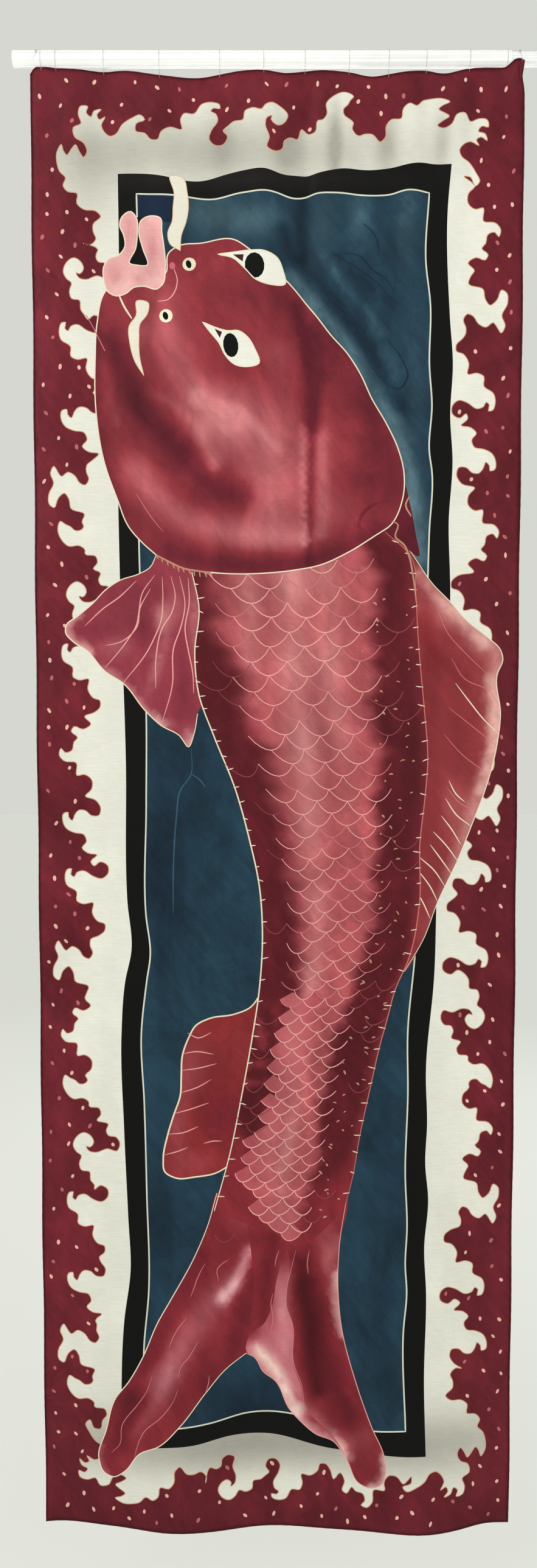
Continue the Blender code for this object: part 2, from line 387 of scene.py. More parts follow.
foam = wave_outline()
ground = ((-0.5, 0.05), (-0.5, -2.85), (0.5, -2.85), (0.5, 0.05))
# the ground: its narrow upright dark spots just under the top edge are painted shade in the cloth's folds
fill(
    ground,
    wash(MAROON, MAROON_LIGHT, MAROON_DARK, (
        (-0.44, -0.6, 0.05, 0.5, 0.4), (-0.43, -2.0, 0.06, 0.5, 0.3), (0.43, -1.5, 0.05, 0.7, -0.3),
        (-0.1, -0.04, 0.3, 0.03, 0.15), (0.12, -0.08, 0.02, 0.06, -0.7), (0.03, -0.09, 0.02, 0.06, -0.5),
        (0.4, -0.2, 0.05, 0.2, -0.3), (0.0, -2.74, 0.5, 0.02, -0.4), (0.43, -2.3, 0.05, 0.4, 0.3),
    )),
    mottle=0.75, edged=False,
)
# the foam: its narrow upright dark spots near the top and the broad band across the top are painted shade of
# the cloth's folds; it is also darker near the bottom
fill(
    foam,
    wash(CREAM, (232, 230, 220), CREAM_PAINTED_SHADE, (
        (-0.1, -0.16, 0.35, 0.06, -0.7), (0.105, -0.15, 0.012, 0.07, -0.8), (0.02, -0.15, 0.02, 0.06, -0.6),
        (0.2, -0.14, 0.02, 0.06, -0.6), (-0.1, -0.14, 0.02, 0.06, -0.4), (-0.34, -0.2, 0.08, 0.1, -0.4),
        (0.3, -0.14, 0.015, 0.06, -0.5), (0.0, -2.59, 0.6, 0.06, -1.0), (0.36, -1.8, 0.04, 0.2, 0.5),
        (-0.36, -1.6, 0.04, 0.4, 0.6), (0.36, -0.6, 0.04, 0.3, 0.5), (0.0, -2.68, 0.3, 0.04, 0.2),
    )),
    mottle=0.12, edged=False,
)


def droplets():
    """Droplets of spray scattered over the dyed edge of the sheet, clear of the foam."""
    tries = np.array([
        (chance.uniform(-DROPLET_SIDE, DROPLET_SIDE), chance.uniform(*DROPLET_HEIGHTS))
        for _ in range(DROPLET_TRIES)
    ])
    tries = tries[np.argsort(tries[:, 1])]
    tries = tries[~inside([foam], tries[:, 0], tries[:, 1])]
    placed = []
    # the key only shuffles them
    for across, height in sorted(tries.tolist(), key=lambda place: place[0] * 7919 % 1):
        inset = min(HALF_WIDTH - abs(across), SILK_TOP - height, height - SILK_BOTTOM)
        near = np.hypot(foam[:, 0] - across, foam[:, 1] - height).min()
        apart = min((hypot(x - across, z - height) for x, z in placed), default=1.0)
        if inset < DROPLET_BAND and near > DROPLET_CLEAR and apart > DROPLET_GAP + DROPLET_SPREAD * inset:
            placed.append((across, height))
    bright = plain((222, 176, 160))
    faint = plain((178, 98, 100))
    for across, height in placed:
        shape = oval(
            across, height, chance.uniform(0.0075, 0.011) / 2, chance.uniform(0.005, 0.0068) / 2,
            radians(chance.uniform(50, 140)), corners=8,
        )
        fill(shape, bright if chance.random() > 0.3 else faint, mottle=0.3)


line(foam, 0.0016, plain((196, 150, 118)), closed=True, mottle=0.3)
droplets()

# =====================================================================================
# The dark frame and the water
# =====================================================================================
FRAME_OUTSIDE = (
    (-0.292, -0.202), (-0.292, -0.202), (-0.24, -0.202), (-0.14, -0.213), (-0.094, -0.202),
    (-0.029, -0.194), (0.034, -0.205), (0.105, -0.195), (0.177, -0.193), (0.265, -0.181),
    (0.318, -0.184), (0.318, -0.184), (0.312, -0.26), (0.317, -0.459), (0.323, -0.541),
    (0.319, -0.64), (0.324, -0.72), (0.318, -0.83), (0.322, -0.96), (0.311, -1.218),
    (0.3, -1.54), (0.297, -1.674), (0.282, -1.868), (0.285, -1.965), (0.282, -2.043),
    (0.288, -2.11), (0.281, -2.207), (0.285, -2.29), (0.282, -2.467), (0.286, -2.61),
    (0.286, -2.61), (0.212, -2.612), (0.104, -2.603), (-0.018, -2.576), (-0.092, -2.575),
    (-0.165, -2.59), (-0.234, -2.598), (-0.298, -2.603), (-0.298, -2.603), (-0.3, -2.496),
    (-0.294, -2.353), (-0.281, -2.25), (-0.285, -2.149), (-0.292, -1.98), (-0.296, -1.795),
    (-0.288, -1.692), (-0.276, -1.635), (-0.283, -1.539), (-0.284, -1.275), (-0.293, -0.936),
    (-0.296, -0.7), (-0.291, -0.349),
)
FRAME_INSIDE = (
    (-0.258, -0.238), (-0.258, -0.238), (-0.189, -0.24), (-0.117, -0.246), (-0.063, -0.236),
    (0.0, -0.236), (0.031, -0.246), (0.071, -0.237), (0.149, -0.24), (0.203, -0.238),
    (0.237, -0.23), (0.278, -0.235), (0.278, -0.235), (0.272, -0.357), (0.281, -0.437),
    (0.28, -0.549), (0.285, -0.617), (0.281, -0.705), (0.286, -0.74), (0.282, -0.85),
    (0.276, -1.218), (0.264, -1.539), (0.26, -1.635), (0.247, -1.79), (0.248, -1.906),
    (0.244, -2.063), (0.248, -2.166), (0.245, -2.24), (0.248, -2.29), (0.242, -2.37),
    (0.247, -2.562), (0.247, -2.562), (0.186, -2.567), (0.099, -2.557), (0.029, -2.537),
    (-0.057, -2.533), (-0.129, -2.547), (-0.19, -2.557), (-0.255, -2.565), (-0.255, -2.565),
    (-0.256, -2.404), (-0.246, -2.29), (-0.249, -2.101), (-0.253, -1.926), (-0.258, -1.795),
    (-0.247, -1.692), (-0.24, -1.643), (-0.248, -1.562), (-0.246, -1.361), (-0.245, -1.186),
    (-0.256, -0.917), (-0.258, -0.546), (-0.256, -0.349),
)
frame_outside = smooth(FRAME_OUTSIDE, closed=True)
frame_inside = smooth(FRAME_INSIDE, closed=True)
fill(frame_outside, wash(BLACK, (34, 30, 28), (8, 7, 7), ((-0.1, -0.21, 0.3, 0.02, 0.7),)), 0.3)
# the water: its narrow upright light spots near the top are painted highlights beside the cloth's folds
fill(
    frame_inside,
    wash(TEAL, TEAL_LIGHT, TEAL_DARK, (
        (-0.13, -0.27, 0.05, 0.04, 0.6), (-0.04, -0.285, 0.05, 0.03, 0.6), (0.085, -0.29, 0.02, 0.05, 0.35),
        (0.15, -0.275, 0.02, 0.05, 0.4), (0.238, -0.28, 0.02, 0.08, 0.3), (0.15, -0.42, 0.05, 0.06, -0.2),
        (0.25, -0.86, 0.04, 0.12, 0.3), (-0.18, -1.32, 0.09, 0.14, -0.4), (-0.215, -1.52, 0.05, 0.14, -0.75),
        (-0.02, -2.52, 0.12, 0.08, -0.7), (0.22, -2.07, 0.06, 0.3, -0.2), (-0.24, -2.2, 0.05, 0.15, -0.35),
        (-0.16, -2.12, 0.08, 0.08, -0.3), (0.255, -0.55, 0.02, 0.1, 0.15), (0.19, -2.4, 0.05, 0.15, -0.15),
    ), (
        (0.015, 0.75, ((0.023, -0.385), (0.067, -0.438), (0.122, -0.502), (0.168, -0.577), (0.208, -0.652),
                       (0.243, -0.73), (0.256, -0.82), (0.262, -0.9))),
        (0.012, -0.65, ((0.01, -0.302), (0.022, -0.345), (0.06, -0.378), (0.105, -0.432), (0.152, -0.49),
                        (0.192, -0.555), (0.226, -0.622))),
        (0.01, -0.5, ((0.046, -0.245), (0.041, -0.297), (0.048, -0.353))),
        (0.01, 0.35, ((0.085, -0.35), (0.12, -0.4), (0.16, -0.44), (0.19, -0.49))),
        (0.009, -0.4, ((0.1, -0.35), (0.145, -0.385), (0.187, -0.415), (0.225, -0.445))),
        (0.01, 0.3, ((0.19, -0.52), (0.212, -0.56), (0.22, -0.64), (0.245, -0.68))),
    )),
    mottle=0.9, edged=False,
)
draw((
    ((0.155, -0.29), (0.168, -0.3), (0.181, -0.317), (0.187, -0.353)),
    ((0.103, -0.347), (0.145, -0.371), (0.187, -0.401), (0.213, -0.429), (0.234, -0.439)),
    ((0.2, -0.498), (0.229, -0.536), (0.24, -0.567), (0.224, -0.59), (0.198, -0.577), (0.172, -0.547)),
    ((0.062, -0.378), (0.09, -0.416), (0.135, -0.46), (0.166, -0.506), (0.187, -0.54)),
    ((0.12, -0.345), (0.15, -0.35), (0.175, -0.375), (0.2, -0.392), (0.216, -0.418)),
), 0.0038, plain((20, 42, 58)), taper=0.1, mottle=0.9)
draw((
    ((-0.161, -1.252), (-0.162, -1.301), (-0.182, -1.331), (-0.189, -1.379), (-0.195, -1.47),
     (-0.196, -1.567)),
    ((-0.162, -1.299), (-0.146, -1.31), (-0.134, -1.325)),
), 0.0028, plain((48, 80, 98)), taper=0.2, mottle=0.6)
fill(
    ((-0.256, -0.24), (-0.187, -0.243), (-0.187, -0.29), (-0.256, -0.285)), plain((18, 34, 56)), mottle=0.4,
)
line(frame_inside, 0.0028, plain((206, 208, 190)), closed=True)

# =====================================================================================
# The carp
# =====================================================================================
BODY_RIGHT = (
    (0.2, -0.85), (0.25, -0.9), (0.258, -0.969), (0.262, -1.037), (0.268, -1.108),
    (0.275, -1.179), (0.282, -1.277), (0.277, -1.345), (0.268, -1.43), (0.268, -1.539),
    (0.249, -1.645), (0.222, -1.71), (0.208, -1.765), (0.196, -1.81), (0.177, -1.898),
    (0.157, -1.996), (0.145, -2.07), (0.13, -2.13),
)
BODY_LEFT = (
    (-0.12, -2.134), (-0.09, -2.024), (-0.067, -1.91), (-0.047, -1.798), (-0.034, -1.709),
    (-0.028, -1.597), (-0.034, -1.51), (-0.051, -1.429), (-0.08, -1.325), (-0.119, -1.228),
    (-0.147, -1.149), (-0.154, -1.074), (-0.146, -0.99), (-0.159, -0.924),
)
GILL_LEFT = ((-0.225, -0.893), (-0.2, -0.906), (-0.176, -0.917), (-0.15, -0.922), (-0.125, -0.925))
HEAD = (
    (-0.225, -0.893), (-0.249, -0.872), (-0.276, -0.841), (-0.297, -0.79), (-0.32, -0.725),
    (-0.336, -0.62), (-0.336, -0.532), (-0.332, -0.47), (-0.318, -0.415), (-0.3, -0.395),
    (-0.25, -0.38), (-0.205, -0.38), (-0.2, -0.345), (-0.18, -0.331), (-0.142, -0.326),
    (-0.08, -0.32), (-0.046, -0.342), (0.014, -0.392), (0.067, -0.452), (0.098, -0.492),
    (0.129, -0.526), (0.153, -0.563), (0.174, -0.607), (0.202, -0.654), (0.223, -0.698),
    (0.234, -0.74), (0.232, -0.79), (0.208, -0.84), (0.19, -0.852), (0.19, -0.852),
    (0.131, -0.888), (0.082, -0.91), (0.034, -0.92), (-0.021, -0.926), (-0.121, -0.925),
    (-0.176, -0.917), (-0.225, -0.893),
)
SHOULDER = (
    (0.195, -0.85), (0.226, -0.8), (0.236, -0.765), (0.246, -0.8), (0.256, -0.85),
    (0.262, -0.896), (0.24, -0.88), (0.222, -0.862), (0.21, -0.862),
)
FIN_RIGHT = (
    (0.21, -0.835), (0.252, -0.893), (0.29, -0.947), (0.32, -0.977), (0.358, -1.018),
    (0.396, -1.048), (0.415, -1.066), (0.421, -1.085), (0.411, -1.113), (0.418, -1.19),
    (0.412, -1.245), (0.391, -1.327), (0.365, -1.397), (0.339, -1.463), (0.303, -1.539),
    (0.275, -1.612), (0.24, -1.672), (0.23, -1.6), (0.24, -1.3), (0.23, -0.95),
)
FIN_LEFT = (
    (-0.225, -0.893), (-0.225, -0.893), (-0.236, -0.915), (-0.258, -0.928), (-0.292, -0.939),
    (-0.321, -0.958), (-0.343, -0.981), (-0.374, -1.007), (-0.393, -1.022), (-0.395, -1.036),
    (-0.382, -1.052), (-0.355, -1.07), (-0.322, -1.108), (-0.286, -1.132), (-0.247, -1.181),
    (-0.217, -1.209), (-0.183, -1.228), (-0.166, -1.249), (-0.156, -1.225), (-0.149, -1.187),
    (-0.13, -1.15), (-0.13, -1.05), (-0.12, -0.94), (-0.17, -0.9),
)
FIN_LOW = (
    (-0.03, -1.715), (-0.051, -1.743), (-0.082, -1.756), (-0.128, -1.763), (-0.154, -1.776),
    (-0.168, -1.8), (-0.18, -1.835), (-0.182, -1.871), (-0.184, -1.91), (-0.197, -1.949),
    (-0.209, -1.989), (-0.217, -2.032), (-0.214, -2.058), (-0.194, -2.069), (-0.155, -2.067),
    (-0.117, -2.061), (-0.08, -2.04), (-0.04, -1.9),
)
TAIL_LEFT = (
    (-0.115, -2.1), (-0.132, -2.16), (-0.156, -2.218), (-0.203, -2.305), (-0.228, -2.35),
    (-0.261, -2.427), (-0.286, -2.471), (-0.312, -2.505), (-0.33, -2.567), (-0.345, -2.625),
    (-0.334, -2.653), (-0.316, -2.66), (-0.295, -2.648), (-0.266, -2.612), (-0.229, -2.595),
    (-0.186, -2.552), (-0.136, -2.486), (-0.1, -2.445), (-0.06, -2.416), (-0.06, -2.416),
    (-0.015, -2.25), (0.0, -2.1),
)
TAIL_RIGHT = (
    (0.134, -2.11), (0.12, -2.203), (0.117, -2.283), (0.125, -2.371), (0.15, -2.467),
    (0.183, -2.56), (0.207, -2.615), (0.21, -2.645), (0.2, -2.67), (0.18, -2.677),
    (0.16, -2.67), (0.135, -2.625), (0.108, -2.589), (0.075, -2.576), (0.05, -2.556),
    (0.024, -2.528), (-0.004, -2.472), (-0.026, -2.455), (-0.045, -2.424), (-0.06, -2.416),
    (-0.06, -2.416), (-0.045, -2.3), (-0.04, -2.1),
)
TAIL_SWATH = (
    (0.02, -2.215), (0.024, -2.25), (0.019, -2.296), (0.017, -2.324), (0.029, -2.361), (0.031, -2.401),
    (0.031, -2.437), (0.046, -2.482), (0.052, -2.51), (0.072, -2.545), (0.104, -2.574), (0.136, -2.624),
    *TAIL_RIGHT[12:19],
    (-0.058, -2.414), (-0.052, -2.38), (-0.026, -2.36), (-0.01, -2.325), (0.0, -2.27),
)
LIPS = (
    (-0.286, -0.281), (-0.268, -0.27), (-0.259, -0.28), (-0.257, -0.309), (-0.26, -0.336),
    (-0.271, -0.363), (-0.258, -0.366), (-0.239, -0.366), (-0.247, -0.336), (-0.254, -0.305),
    (-0.25, -0.286), (-0.235, -0.278), (-0.214, -0.282), (-0.212, -0.305), (-0.208, -0.333),
    (-0.206, -0.375), (-0.21, -0.399), (-0.222, -0.409), (-0.244, -0.404), (-0.264, -0.406),
    (-0.279, -0.417), (-0.296, -0.421), (-0.312, -0.413), (-0.319, -0.392), (-0.319, -0.368),
    (-0.31, -0.354), (-0.292, -0.348), (-0.28, -0.333), (-0.282, -0.312), (-0.289, -0.295),
)
BARBEL_UPPER = (
    (-0.196, -0.206), (-0.173, -0.208), (-0.165, -0.235), (-0.163, -0.261), (-0.168, -0.29),
    (-0.176, -0.312), (-0.178, -0.34), (-0.178, -0.34), (-0.197, -0.328), (-0.201, -0.308),
    (-0.193, -0.288), (-0.191, -0.262), (-0.189, -0.236),
)
BARBEL_LOWER = (
    (-0.259, -0.43), (-0.237, -0.434), (-0.239, -0.453), (-0.253, -0.472), (-0.255, -0.497),
    (-0.254, -0.53), (-0.246, -0.566), (-0.246, -0.566), (-0.263, -0.539), (-0.272, -0.506),
    (-0.273, -0.475), (-0.26, -0.456),
)
EYE_UPPER = (
    (-0.11, -0.346), (-0.11, -0.346), (-0.082, -0.343), (-0.052, -0.34), (-0.022, -0.342),
    (0.0, -0.354), (0.01, -0.376), (0.014, -0.4), (-0.01, -0.402), (-0.04, -0.392),
    (-0.062, -0.37), (-0.08, -0.354),
)
EYE_LOWER = (
    (-0.138, -0.468), (-0.138, -0.468), (-0.114, -0.478), (-0.092, -0.484), (-0.072, -0.484),
    (-0.054, -0.497), (-0.042, -0.517), (-0.034, -0.543), (-0.055, -0.549), (-0.08, -0.544),
    (-0.096, -0.528), (-0.108, -0.505), (-0.124, -0.486),
)

cream_line = plain((226, 214, 188))
pink_line = plain((226, 160, 154))
rose_line = plain((192, 112, 116))
scale_dye = wash((168, 76, 84), (206, 128, 130), CRIMSON, (
    (0.03, -1.8, 0.03, 0.2, 0.4), (-0.01, -2.02, 0.03, 0.1, 0.35), (0.02, -2.15, 0.03, 0.05, 0.3),
))
faint_line = plain((136, 62, 66))
gold_line = plain((182, 130, 108))

body_left_edge = smooth(BODY_LEFT)
body_right_edge = smooth(BODY_RIGHT)


def body_sides(z):
    """The left and the right edge of the body at each height."""
    left = np.interp(z, body_left_edge[:, 1], body_left_edge[:, 0])
    right = np.interp(z, body_right_edge[::-1, 1], body_right_edge[::-1, 0])
    return left, right


def ramp(value, low, high):
    """Rises smoothly from 0 at low to 1 at high."""
    share = np.clip((value - low) / (high - low), 0, 1)
    return share * share * (3 - 2 * share)


def body_dye(x, z):
    """A pale belly in soft streaks between two dark flanks."""
    left, right = body_sides(z)
    share = (x - left) / (right - left)
    ripple = 0.018 * np.sin(z * 41) + 0.014 * np.sin(z * 97 + 1) + 0.01 * np.sin(z * 173 + 2)
    belly_end = np.interp(
        -z, (0.93, 1.2, 1.5, 1.72, 1.86, 2.04, 2.19), (0.84, 0.78, 0.74, 0.69, 0.64, 0.7, 0.7),
    )
    belly_start = 0.08 * ramp(-z, 1.55, 1.7) - 0.14 * (1 - ramp(-z, 0.98, 1.14))
    belly = ramp(share + ripple - belly_start, 0.12, 0.3)
    belly = belly * (1 - ramp(share + ripple, belly_end - 0.07, belly_end + 0.04))
    streaks = (
        0.8 * np.exp(-((share - 0.4 - 0.05 * np.sin(z * 5)) / 0.08) ** 2)
        + 0.55 * np.exp(-((share - 0.6) / 0.06) ** 2) * np.clip((1.45 + z) / 0.3, 0, 1)
        + 0.45 * np.exp(-((share - 0.24) / 0.05) ** 2) * np.clip((1.25 + z) / 0.2, 0, 1)
    )
    streaks = streaks * np.interp(-z, (1.1, 1.4), (1.05, 0.78))
    bloom = 0.5 + 0.5 * np.sin(z * 13 + 4 * share) * np.sin(z * 29 - 7 * share)
    tail_end = ramp(-z + 0.35 * np.abs(share - 0.58), 2.12, 2.22)
    patches = ramp(-z, 1.71, 1.78) * (1 - ramp(-z, 2.0, 2.1)) * (1 - ramp(share, 0.12, 0.22))
    blotches = np.sin(z * 88 + 3 * np.sin(z * 37)) + 0.6 * np.sin(share * 40 + z * 60)
    patches = patches * ramp(blotches, -0.2, 0.5)
    rim = ramp(share, 0.93, 1.0) * (0.4 + 0.3 * ramp(-z, 1.3, 1.7))
    pink = np.array((170, 80, 86), float)
    flank = np.array((88, 22, 31), float)
    colour = flank + belly[:, None] * (pink - flank)
    colour = colour + (belly * streaks * (0.35 + 0.65 * bloom))[:, None] * (np.array((218, 150, 148)) - pink)
    colour = colour + (np.maximum(rim, 0.75 * patches))[:, None] * (np.array(CRIMSON) - colour)
    return colour + tail_end[:, None] * (np.array(TAIL) - colour)


fin_dye = wash(FIN, FIN_LIGHT, (112, 30, 36), (
    (0.412, -1.16, 0.018, 0.1, 1.0), (0.305, -1.0, 0.045, 0.03, 0.4, -0.9), (0.385, -1.05, 0.03, 0.03, 0.3),
    (0.385, -1.32, 0.016, 0.1, 0.6, 0.35), (0.335, -1.47, 0.014, 0.1, 0.5, 0.4),
    (0.31, -1.12, 0.04, 0.05, -0.15),
    (0.28, -1.12, 0.02, 0.16, -0.5), (0.34, -1.22, 0.03, 0.06, -0.3), (0.29, -1.4, 0.02, 0.12, -0.2),
    (0.33, -1.36, 0.03, 0.05, 0.2),
), (
    (0.014, 0.75, ((0.265, -0.928), (0.292, -0.962), (0.338, -1.002), (0.385, -1.055))),
    (0.01, 0.5, ((0.395, -1.12), (0.408, -1.18), (0.402, -1.25), (0.385, -1.33))),
    (0.014, -0.4, ((0.26, -1.02), (0.3, -1.08), (0.35, -1.13))),
))
left_fin_dye = wash((140, 52, 66), (226, 170, 164), (92, 24, 40), (
    (-0.235, -1.205, 0.035, 0.01, 0.6, -0.8), (-0.165, -1.238, 0.012, 0.02, 1.0),
    (-0.215, -1.01, 0.014, 0.03, 0.55),
    (-0.225, -1.1, 0.01, 0.05, 0.4, 0.3), (-0.27, -0.965, 0.07, 0.02, -0.25), (-0.3, -1.06, 0.04, 0.02, 0.25),
    (-0.19, -0.985, 0.02, 0.04, 0.25), (-0.175, -1.12, 0.014, 0.06, -0.35),
    (-0.34, -1.035, 0.03, 0.02, -0.25),
    (-0.25, -1.035, 0.02, 0.03, -0.35), (-0.155, -1.02, 0.01, 0.08, 0.35),
), (
    (0.008, 0.8, ((-0.372, -1.0), (-0.396, -1.026), (-0.388, -1.048), (-0.35, -1.074))),
    (0.007, 0.5, ((-0.33, -1.104), (-0.29, -1.13), (-0.255, -1.172), (-0.215, -1.212))),
))
low_fin_dye = wash((130, 38, 42), (172, 88, 98), FIN_DARK, (
    (-0.165, -1.86, 0.03, 0.06, 0.5), (-0.19, -1.96, 0.02, 0.06, 0.5), (-0.1, -1.95, 0.04, 0.05, -0.6),
    (-0.08, -1.82, 0.05, 0.06, 0.1), (-0.16, -2.04, 0.05, 0.03, 0.3),
))
tail_left_dye = wash(TAIL, (226, 166, 174), (80, 16, 30), (
    (-0.2, -2.44, 0.022, 0.05, 0.15, 0.5), (-0.31, -2.63, 0.02, 0.02, 0.2), (-0.06, -2.15, 0.03, 0.03, 0.12),
), (
    (0.012, 0.85, ((-0.051, -2.215), (-0.067, -2.252), (-0.082, -2.28), (-0.106, -2.305))),
    (0.03, 0.26, ((-0.09, -2.288), (-0.137, -2.328), (-0.169, -2.369), (-0.208, -2.421), (-0.232, -2.47))),
    (0.016, 0.18, ((-0.2, -2.45), (-0.24, -2.52), (-0.28, -2.57))),
    (0.02, -0.35, ((-0.145, -2.22), (-0.2, -2.32), (-0.245, -2.42), (-0.29, -2.5))),
    (0.024, -0.35, ((-0.045, -2.24), (-0.062, -2.33), (-0.09, -2.42), (-0.14, -2.48))),
    (0.018, -0.45, ((-0.27, -2.5), (-0.3, -2.56), (-0.322, -2.63))),
    (0.008, 0.35, ((-0.34, -2.6), (-0.344, -2.63), (-0.33, -2.652))),
))
tail_right_dye = wash(TAIL, (230, 186, 182), (72, 12, 22), (
    (0.16, -2.58, 0.03, 0.03, 0.12), (0.095, -2.19, 0.02, 0.05, 0.15), (-0.01, -2.2, 0.02, 0.04, -0.2),
), (
    (0.019, 0.3, ((0.02, -2.25), (0.01, -2.328), (0.006, -2.377), (0.012, -2.433), (0.034, -2.49),
                   (0.05, -2.53), (0.09, -2.572), (0.128, -2.604))),
    (0.01, 0.7, ((-0.044, -2.404), (-0.018, -2.438), (0.004, -2.462), (0.018, -2.495), (0.034, -2.528),
                   (0.072, -2.568), (0.108, -2.59), (0.13, -2.62))),
    (0.018, -0.8, ((0.048, -2.23), (0.046, -2.3), (0.062, -2.37), (0.064, -2.44), (0.078, -2.49))),
    (0.022, -0.55, ((0.072, -2.28), (0.084, -2.38), (0.11, -2.48), (0.14, -2.54))),
    (0.01, 0.8, ((0.118, -2.262), (0.112, -2.305), (0.12, -2.35), (0.128, -2.38))),
    (0.014, -0.4, ((-0.01, -2.2), (-0.02, -2.28), (-0.022, -2.36))),
    (0.009, 0.9, ((0.209, -2.612), (0.212, -2.645), (0.2, -2.672), (0.18, -2.678))),
    (0.014, 0.2, ((0.12, -2.2), (0.095, -2.24), (0.092, -2.3))),
))


fin_right = smooth(FIN_RIGHT, closed=True)
fin_left = smooth(FIN_LEFT, closed=True)
fin_low = smooth(FIN_LOW, closed=True)
tail_left = smooth(TAIL_LEFT, closed=True)
tail_right = smooth(TAIL_RIGHT, closed=True)
body = smooth(
    ((-0.159, -0.924), (-0.159, -0.88), (0.2, -0.85), (0.2, -0.85)) + BODY_RIGHT[1:]
    + ((0.13, -2.13), (0.09, -2.175), (0.04, -2.205), (-0.01, -2.18), (-0.065, -2.16), (-0.12, -2.134))
    + BODY_LEFT,
    closed=True,
)
head = smooth(HEAD, closed=True)

fill(fin_right, fin_dye, mottle=0.5)
fill(fin_left, left_fin_dye, mottle=0.5)
fill(fin_low, low_fin_dye, mottle=0.6)
fill(tail_left, tail_left_dye, mottle=0.6)
fill(tail_right, tail_right_dye, mottle=0.6)
tail_swath_dye = wash((186, 104, 114), (232, 198, 188), TAIL, (
    (0.012, -2.225, 0.03, 0.035, -1.0), (-0.05, -2.368, 0.022, 0.03, -1.0), (0.012, -2.33, 0.008, 0.03, 0.3),
    (0.015, -2.4, 0.01, 0.03, 0.2), (-0.012, -2.33, 0.01, 0.04, -0.6), (0.075, -2.56, 0.03, 0.03, -0.5),
    (0.115, -2.6, 0.02, 0.02, -0.6),
), (
    (0.013, 0.95, ((-0.04, -2.408), (-0.014, -2.436), (0.004, -2.462), (0.018, -2.495), (0.034, -2.528))),
    (0.009, 0.75, ((0.034, -2.532), (0.062, -2.566), (0.104, -2.59), (0.13, -2.622))),
    (0.01, -0.35, ((0.04, -2.5), (0.062, -2.54), (0.1, -2.575))),
))
fill(smooth(TAIL_SWATH, closed=True), tail_swath_dye, mottle=0.4)
draw([FIN_RIGHT[:17]], 0.0018, cream_line, taper=0.5)
draw([FIN_LEFT[1:20]], 0.0022, cream_line, taper=0.6)
draw([FIN_LOW[:17]], 0.003, cream_line, taper=0.8)
draw([TAIL_LEFT[:20]], 0.002, cream_line, taper=0.6)
draw([TAIL_RIGHT[:20]], 0.0016, pink_line, taper=0.6)


def rays(paths, width, dye):
    """Fin rays: thin lines that fade at both ends."""
    draw(paths, width, dye, taper=0.25, step=0.01)


rays((
    ((-0.262, -0.94), (-0.295, -0.971), (-0.325, -0.992), (-0.359, -1.024)),
    ((-0.236, -0.955), (-0.256, -0.992), (-0.261, -1.024), (-0.291, -1.053), (-0.32, -1.06)),
    ((-0.228, -0.93), (-0.252, -0.965), (-0.258, -1.0), (-0.262, -1.021), (-0.28, -1.051), (-0.322, -1.102)),
    ((-0.214, -0.933), (-0.213, -0.972), (-0.217, -1.016), (-0.226, -1.039), (-0.241, -1.069),
     (-0.289, -1.131)),
    ((-0.198, -0.932), (-0.19, -0.97), (-0.197, -1.0), (-0.214, -1.027), (-0.226, -1.08), (-0.227, -1.14)),
    ((-0.182, -0.932), (-0.172, -0.985), (-0.18, -1.027), (-0.193, -1.063), (-0.196, -1.134),
     (-0.215, -1.203)),
    ((-0.166, -0.935), (-0.164, -0.98), (-0.172, -1.03), (-0.166, -1.069), (-0.158, -1.11), (-0.156, -1.15)),
), 0.0022, pink_line)
rays((
    ((-0.17, -1.79), (-0.15, -1.8), (-0.125, -1.79)), ((-0.178, -1.83), (-0.155, -1.826), (-0.12, -1.832)),
    ((-0.181, -1.862), (-0.15, -1.858), (-0.115, -1.85)), ((-0.184, -1.905), (-0.15, -1.894),
     (-0.125, -1.88)),
    ((-0.196, -1.945), (-0.17, -1.938), (-0.13, -1.925)), ((-0.208, -1.985), (-0.18, -1.982), (-0.15, -1.97)),
    ((-0.214, -2.025), (-0.19, -2.018), (-0.17, -2.01)), ((-0.14, -2.003), (-0.122, -1.999), (-0.105, -2.0)),
), 0.002, pink_line)
rays((
    ((0.295, -0.985), (0.32, -1.04), (0.352, -1.075), (0.402, -1.122)),
    ((0.325, -1.083), (0.348, -1.12), (0.4, -1.148), (0.414, -1.172)),
    ((0.32, -1.175), (0.352, -1.2), (0.412, -1.248)),
    ((0.312, -1.225), (0.345, -1.262), (0.396, -1.3)),
    ((0.318, -1.325), (0.345, -1.356), (0.376, -1.37)),
), 0.0014, rose_line)
rays((
    ((0.333, -1.13), (0.36, -1.165), (0.385, -1.196), (0.412, -1.222)),
    ((0.322, -1.312), (0.336, -1.338), (0.352, -1.352)),
    ((0.316, -1.346), (0.336, -1.376), (0.364, -1.398)),
    ((0.308, -1.378), (0.328, -1.404), (0.345, -1.432)),
    ((0.293, -1.408), (0.316, -1.432), (0.34, -1.464)),
    ((0.287, -1.432), (0.308, -1.46), (0.328, -1.488)),
    ((0.266, -1.455), (0.296, -1.482), (0.316, -1.512)),
    ((0.264, -1.48), (0.288, -1.512), (0.302, -1.54)),
    ((0.262, -1.52), (0.276, -1.545), (0.288, -1.572)),
), 0.0022, cream_line)
